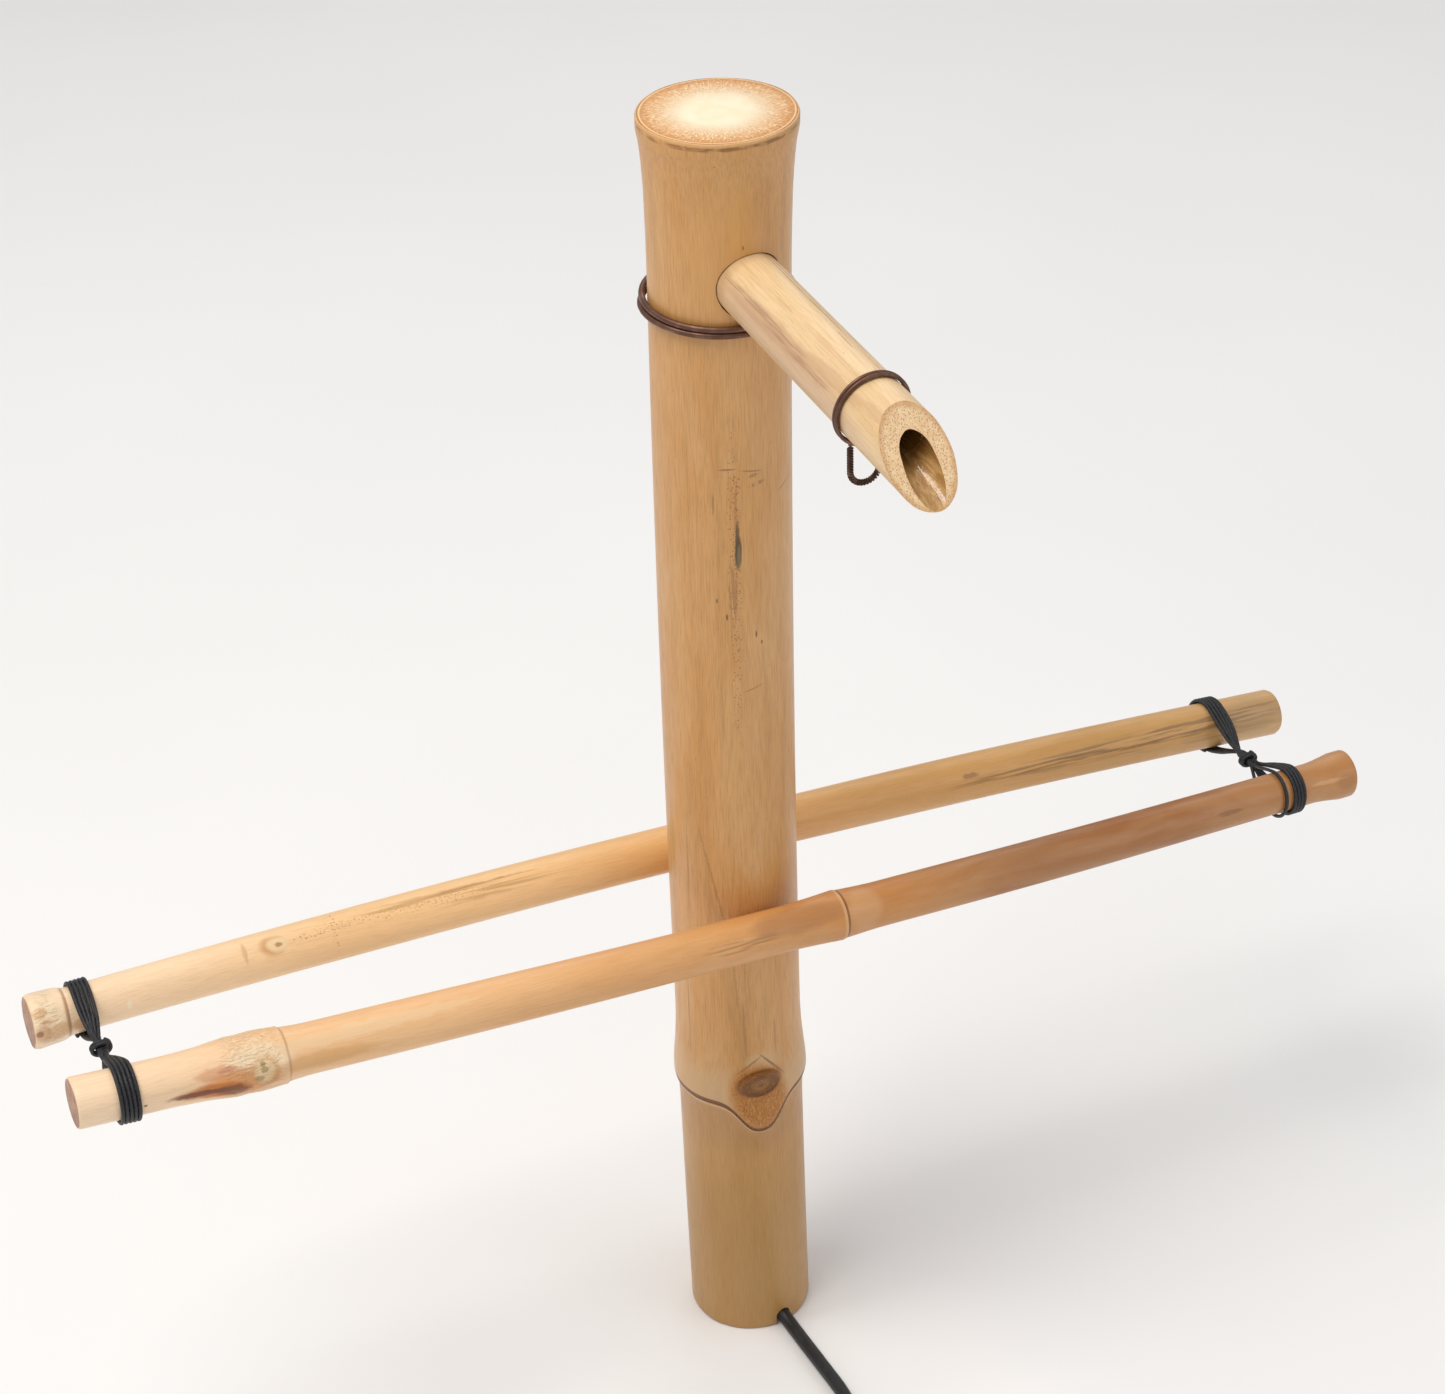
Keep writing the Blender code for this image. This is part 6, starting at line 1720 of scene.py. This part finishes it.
def moulded_material(name, ground, pale, rough):
    """Moulded plastic or rubber: an even colour under a fine spark-eroded grain."""
    material, tree, shader = new_material(name, {"IOR": 1.50})
    spark = grain(tree, UP, 0.0004, 0.0004, 0.35, 0.70)
    cloud = grain(tree, UP, 0.010, 0.010, 0.35, 0.70)
    connect(
        tree,
        shader,
        Base_Color=layered(tree, ground, (pale, 0.6, cloud)),
        Roughness=node(tree, "MapRange", {0: spark, 3: rough, 4: rough + 0.12}),
    )
    relief(tree, shader, (spark, 0.00005))
    return material


def drawn_metal(name, colour, worn, rough):
    """Drawn metal: bright, with fine scratches along it."""
    material, tree, shader = new_material(name, {"Metallic": 1.0})
    scratch = grain(tree, compass(PUMP_ANGLE), 0.0002, 0.006, 0.40, 0.70)
    connect(
        tree,
        shader,
        Base_Color=layered(tree, colour, (worn, 1.0, scratch)),
        Roughness=node(tree, "MapRange", {0: scratch, 3: rough, 4: rough + 0.15}),
    )
    return material


def clear_tube_material():
    """Extruded clear vinyl: see-through and a little cloudy."""
    material, tree, shader = new_material("extruded_clear_vinyl", {"Transmission Weight": 0.75, "IOR": 1.52})
    cloud = grain(tree, UP, 0.004, 0.030, 0.35, 0.70)
    connect(
        tree,
        shader,
        Base_Color=layered(tree, "#E6ECEA", ("#CBD6D3", 1.0, cloud)),
        Roughness=node(tree, "MapRange", {0: cloud, 3: 0.12, 4: 0.30}),
    )
    return material


def dress_nodes():
    feet = tuple(f"suction_foot_{i}" for i in (1, 2, 3, 4))
    finishes = (
        (
            moulded_material("moulded_black_plastic", "#1A1B1D", "#26272A", 0.42),
            ("pump_body", "pump_volute", "inlet_cover", "outlet_nozzle"),
        ),
        (moulded_material("moulded_grey_plastic", "#5A5D61", "#6A6D72", 0.45), ("impeller", "flow_dial")),
        (
            moulded_material("moulded_soft_rubber", "#161617", "#222224", 0.62),
            ("pump_seal", "shaft_bush_front", "shaft_bush_rear", "cord_gland", *feet),
        ),
        (drawn_metal("ground_steel", "#B4B6BA", "#8C8F94", 0.22), ("rotor_shaft",)),
        (
            drawn_metal("stamped_brass", "#C9A25A", "#A47F3E", 0.28),
            ("plug_blade_left", "plug_blade_right", "plug_ground_pin"),
        ),
        (clear_tube_material(), ("riser_tube",)),
    )
    for material, names in finishes:
        for name in names:
            for slot in NODES[name].material_slots:
                slot.material = material


# The add-on's operators and panel


class SPOUT_OT_stage(bpy.types.Operator):
    """Sets the camera, the floor and the studio light"""

    bl_idname = "spout.stage"
    bl_label = "Camera, Floor and Light"
    bl_options = {"REGISTER", "UNDO"}

    def execute(self, context):
        make_camera()
        make_floor()
        make_lights()
        return {"FINISHED"}


class SPOUT_OT_cord(bpy.types.Operator):
    """Lays the power cord with its coil, tie and plug"""

    bl_idname = "spout.cord"
    bl_label = "Power Cord"
    bl_options = {"REGISTER", "UNDO"}

    def execute(self, context):
        make_power_cord(context.scene.spout_finish)
        return {"FINISHED"}


class SPOUT_OT_post(bpy.types.Operator):
    """Shapes the post with its ring, bud, hollows and marks"""

    bl_idname = "spout.post"
    bl_label = "Post"
    bl_options = {"REGISTER", "UNDO"}

    def execute(self, context):
        make_post(context.scene.spout_finish, context.scene.spout_sizes)
        return {"FINISHED"}


class SPOUT_OT_spout(bpy.types.Operator):
    """Shapes the spout with its oblique cut and wet bore"""

    bl_idname = "spout.spout"
    bl_label = "Spout"
    bl_options = {"REGISTER", "UNDO"}

    def execute(self, context):
        make_spout(context.scene.spout_finish, context.scene.spout_sizes)
        return {"FINISHED"}


class SPOUT_OT_wires(bpy.types.Operator):
    """Winds the wires round the post and the spout, and the eye below the spout"""

    bl_idname = "spout.wires"
    bl_label = "Wires"
    bl_options = {"REGISTER", "UNDO"}

    def execute(self, context):
        make_post_wire(context.scene.spout_finish, context.scene.spout_sizes)
        make_spout_wire(context.scene.spout_finish, context.scene.spout_sizes)
        return {"FINISHED"}


class SPOUT_OT_arms(bpy.types.Operator):
    """Shapes the two arms with their nodes and scars"""

    bl_idname = "spout.arms"
    bl_label = "Arms"
    bl_options = {"REGISTER", "UNDO"}

    def execute(self, context):
        for name in ARMS:
            make_arm(name, context.scene.spout_sizes)
        return {"FINISHED"}


class SPOUT_OT_lashings(bpy.types.Operator):
    """Winds the two lashings that join the arms"""

    bl_idname = "spout.lashings"
    bl_label = "Lashings"
    bl_options = {"REGISTER", "UNDO"}

    def execute(self, context):
        for name in LASHING_PLACES:
            make_lashing(name, context.scene.spout_finish, context.scene.spout_sizes)
        return {"FINISHED"}


class SPOUT_OT_pump(bpy.types.Operator):
    """Gives the pump, the tube and the pins their finishes"""

    bl_idname = "spout.pump"
    bl_label = "Pump and Tube"
    bl_options = {"REGISTER", "UNDO"}

    def execute(self, context):
        dress_nodes()
        return {"FINISHED"}


OPERATORS = (
    SPOUT_OT_stage,
    SPOUT_OT_cord,
    SPOUT_OT_post,
    SPOUT_OT_spout,
    SPOUT_OT_wires,
    SPOUT_OT_arms,
    SPOUT_OT_lashings,
    SPOUT_OT_pump,
)


class SPOUT_PT_panel(bpy.types.Panel):
    """Lists the spout's pieces"""

    bl_idname = "SPOUT_PT_panel"
    bl_label = "Bamboo Water Spout"
    bl_space_type = "VIEW_3D"
    bl_region_type = "UI"
    bl_category = "Spout"

    def draw(self, context):
        for group in (context.scene.spout_finish, context.scene.spout_sizes):
            for name in group.bl_rna.properties.keys():
                if name not in ("rna_type", "name"):
                    self.layout.prop(group, name)
        for operator in OPERATORS:
            self.layout.operator(operator.bl_idname)


CLASSES = (SPOUT_PG_finish, SPOUT_PG_sizes, *OPERATORS, SPOUT_PT_panel)


def register():
    for made in CLASSES:
        bpy.utils.register_class(made)
    bpy.types.Scene.spout_finish = bpy.props.PointerProperty(type=SPOUT_PG_finish)
    bpy.types.Scene.spout_sizes = bpy.props.PointerProperty(type=SPOUT_PG_sizes)


def unregister():
    del bpy.types.Scene.spout_sizes
    del bpy.types.Scene.spout_finish
    for made in reversed(CLASSES):
        bpy.utils.unregister_class(made)


def main():
    register()
    bpy.ops.spout.stage()
    bpy.ops.spout.cord()
    bpy.ops.spout.post()
    bpy.ops.spout.spout()
    bpy.ops.spout.wires()
    bpy.ops.spout.arms()
    bpy.ops.spout.lashings()
    bpy.ops.spout.pump()


if __name__ == "__main__":
    main()
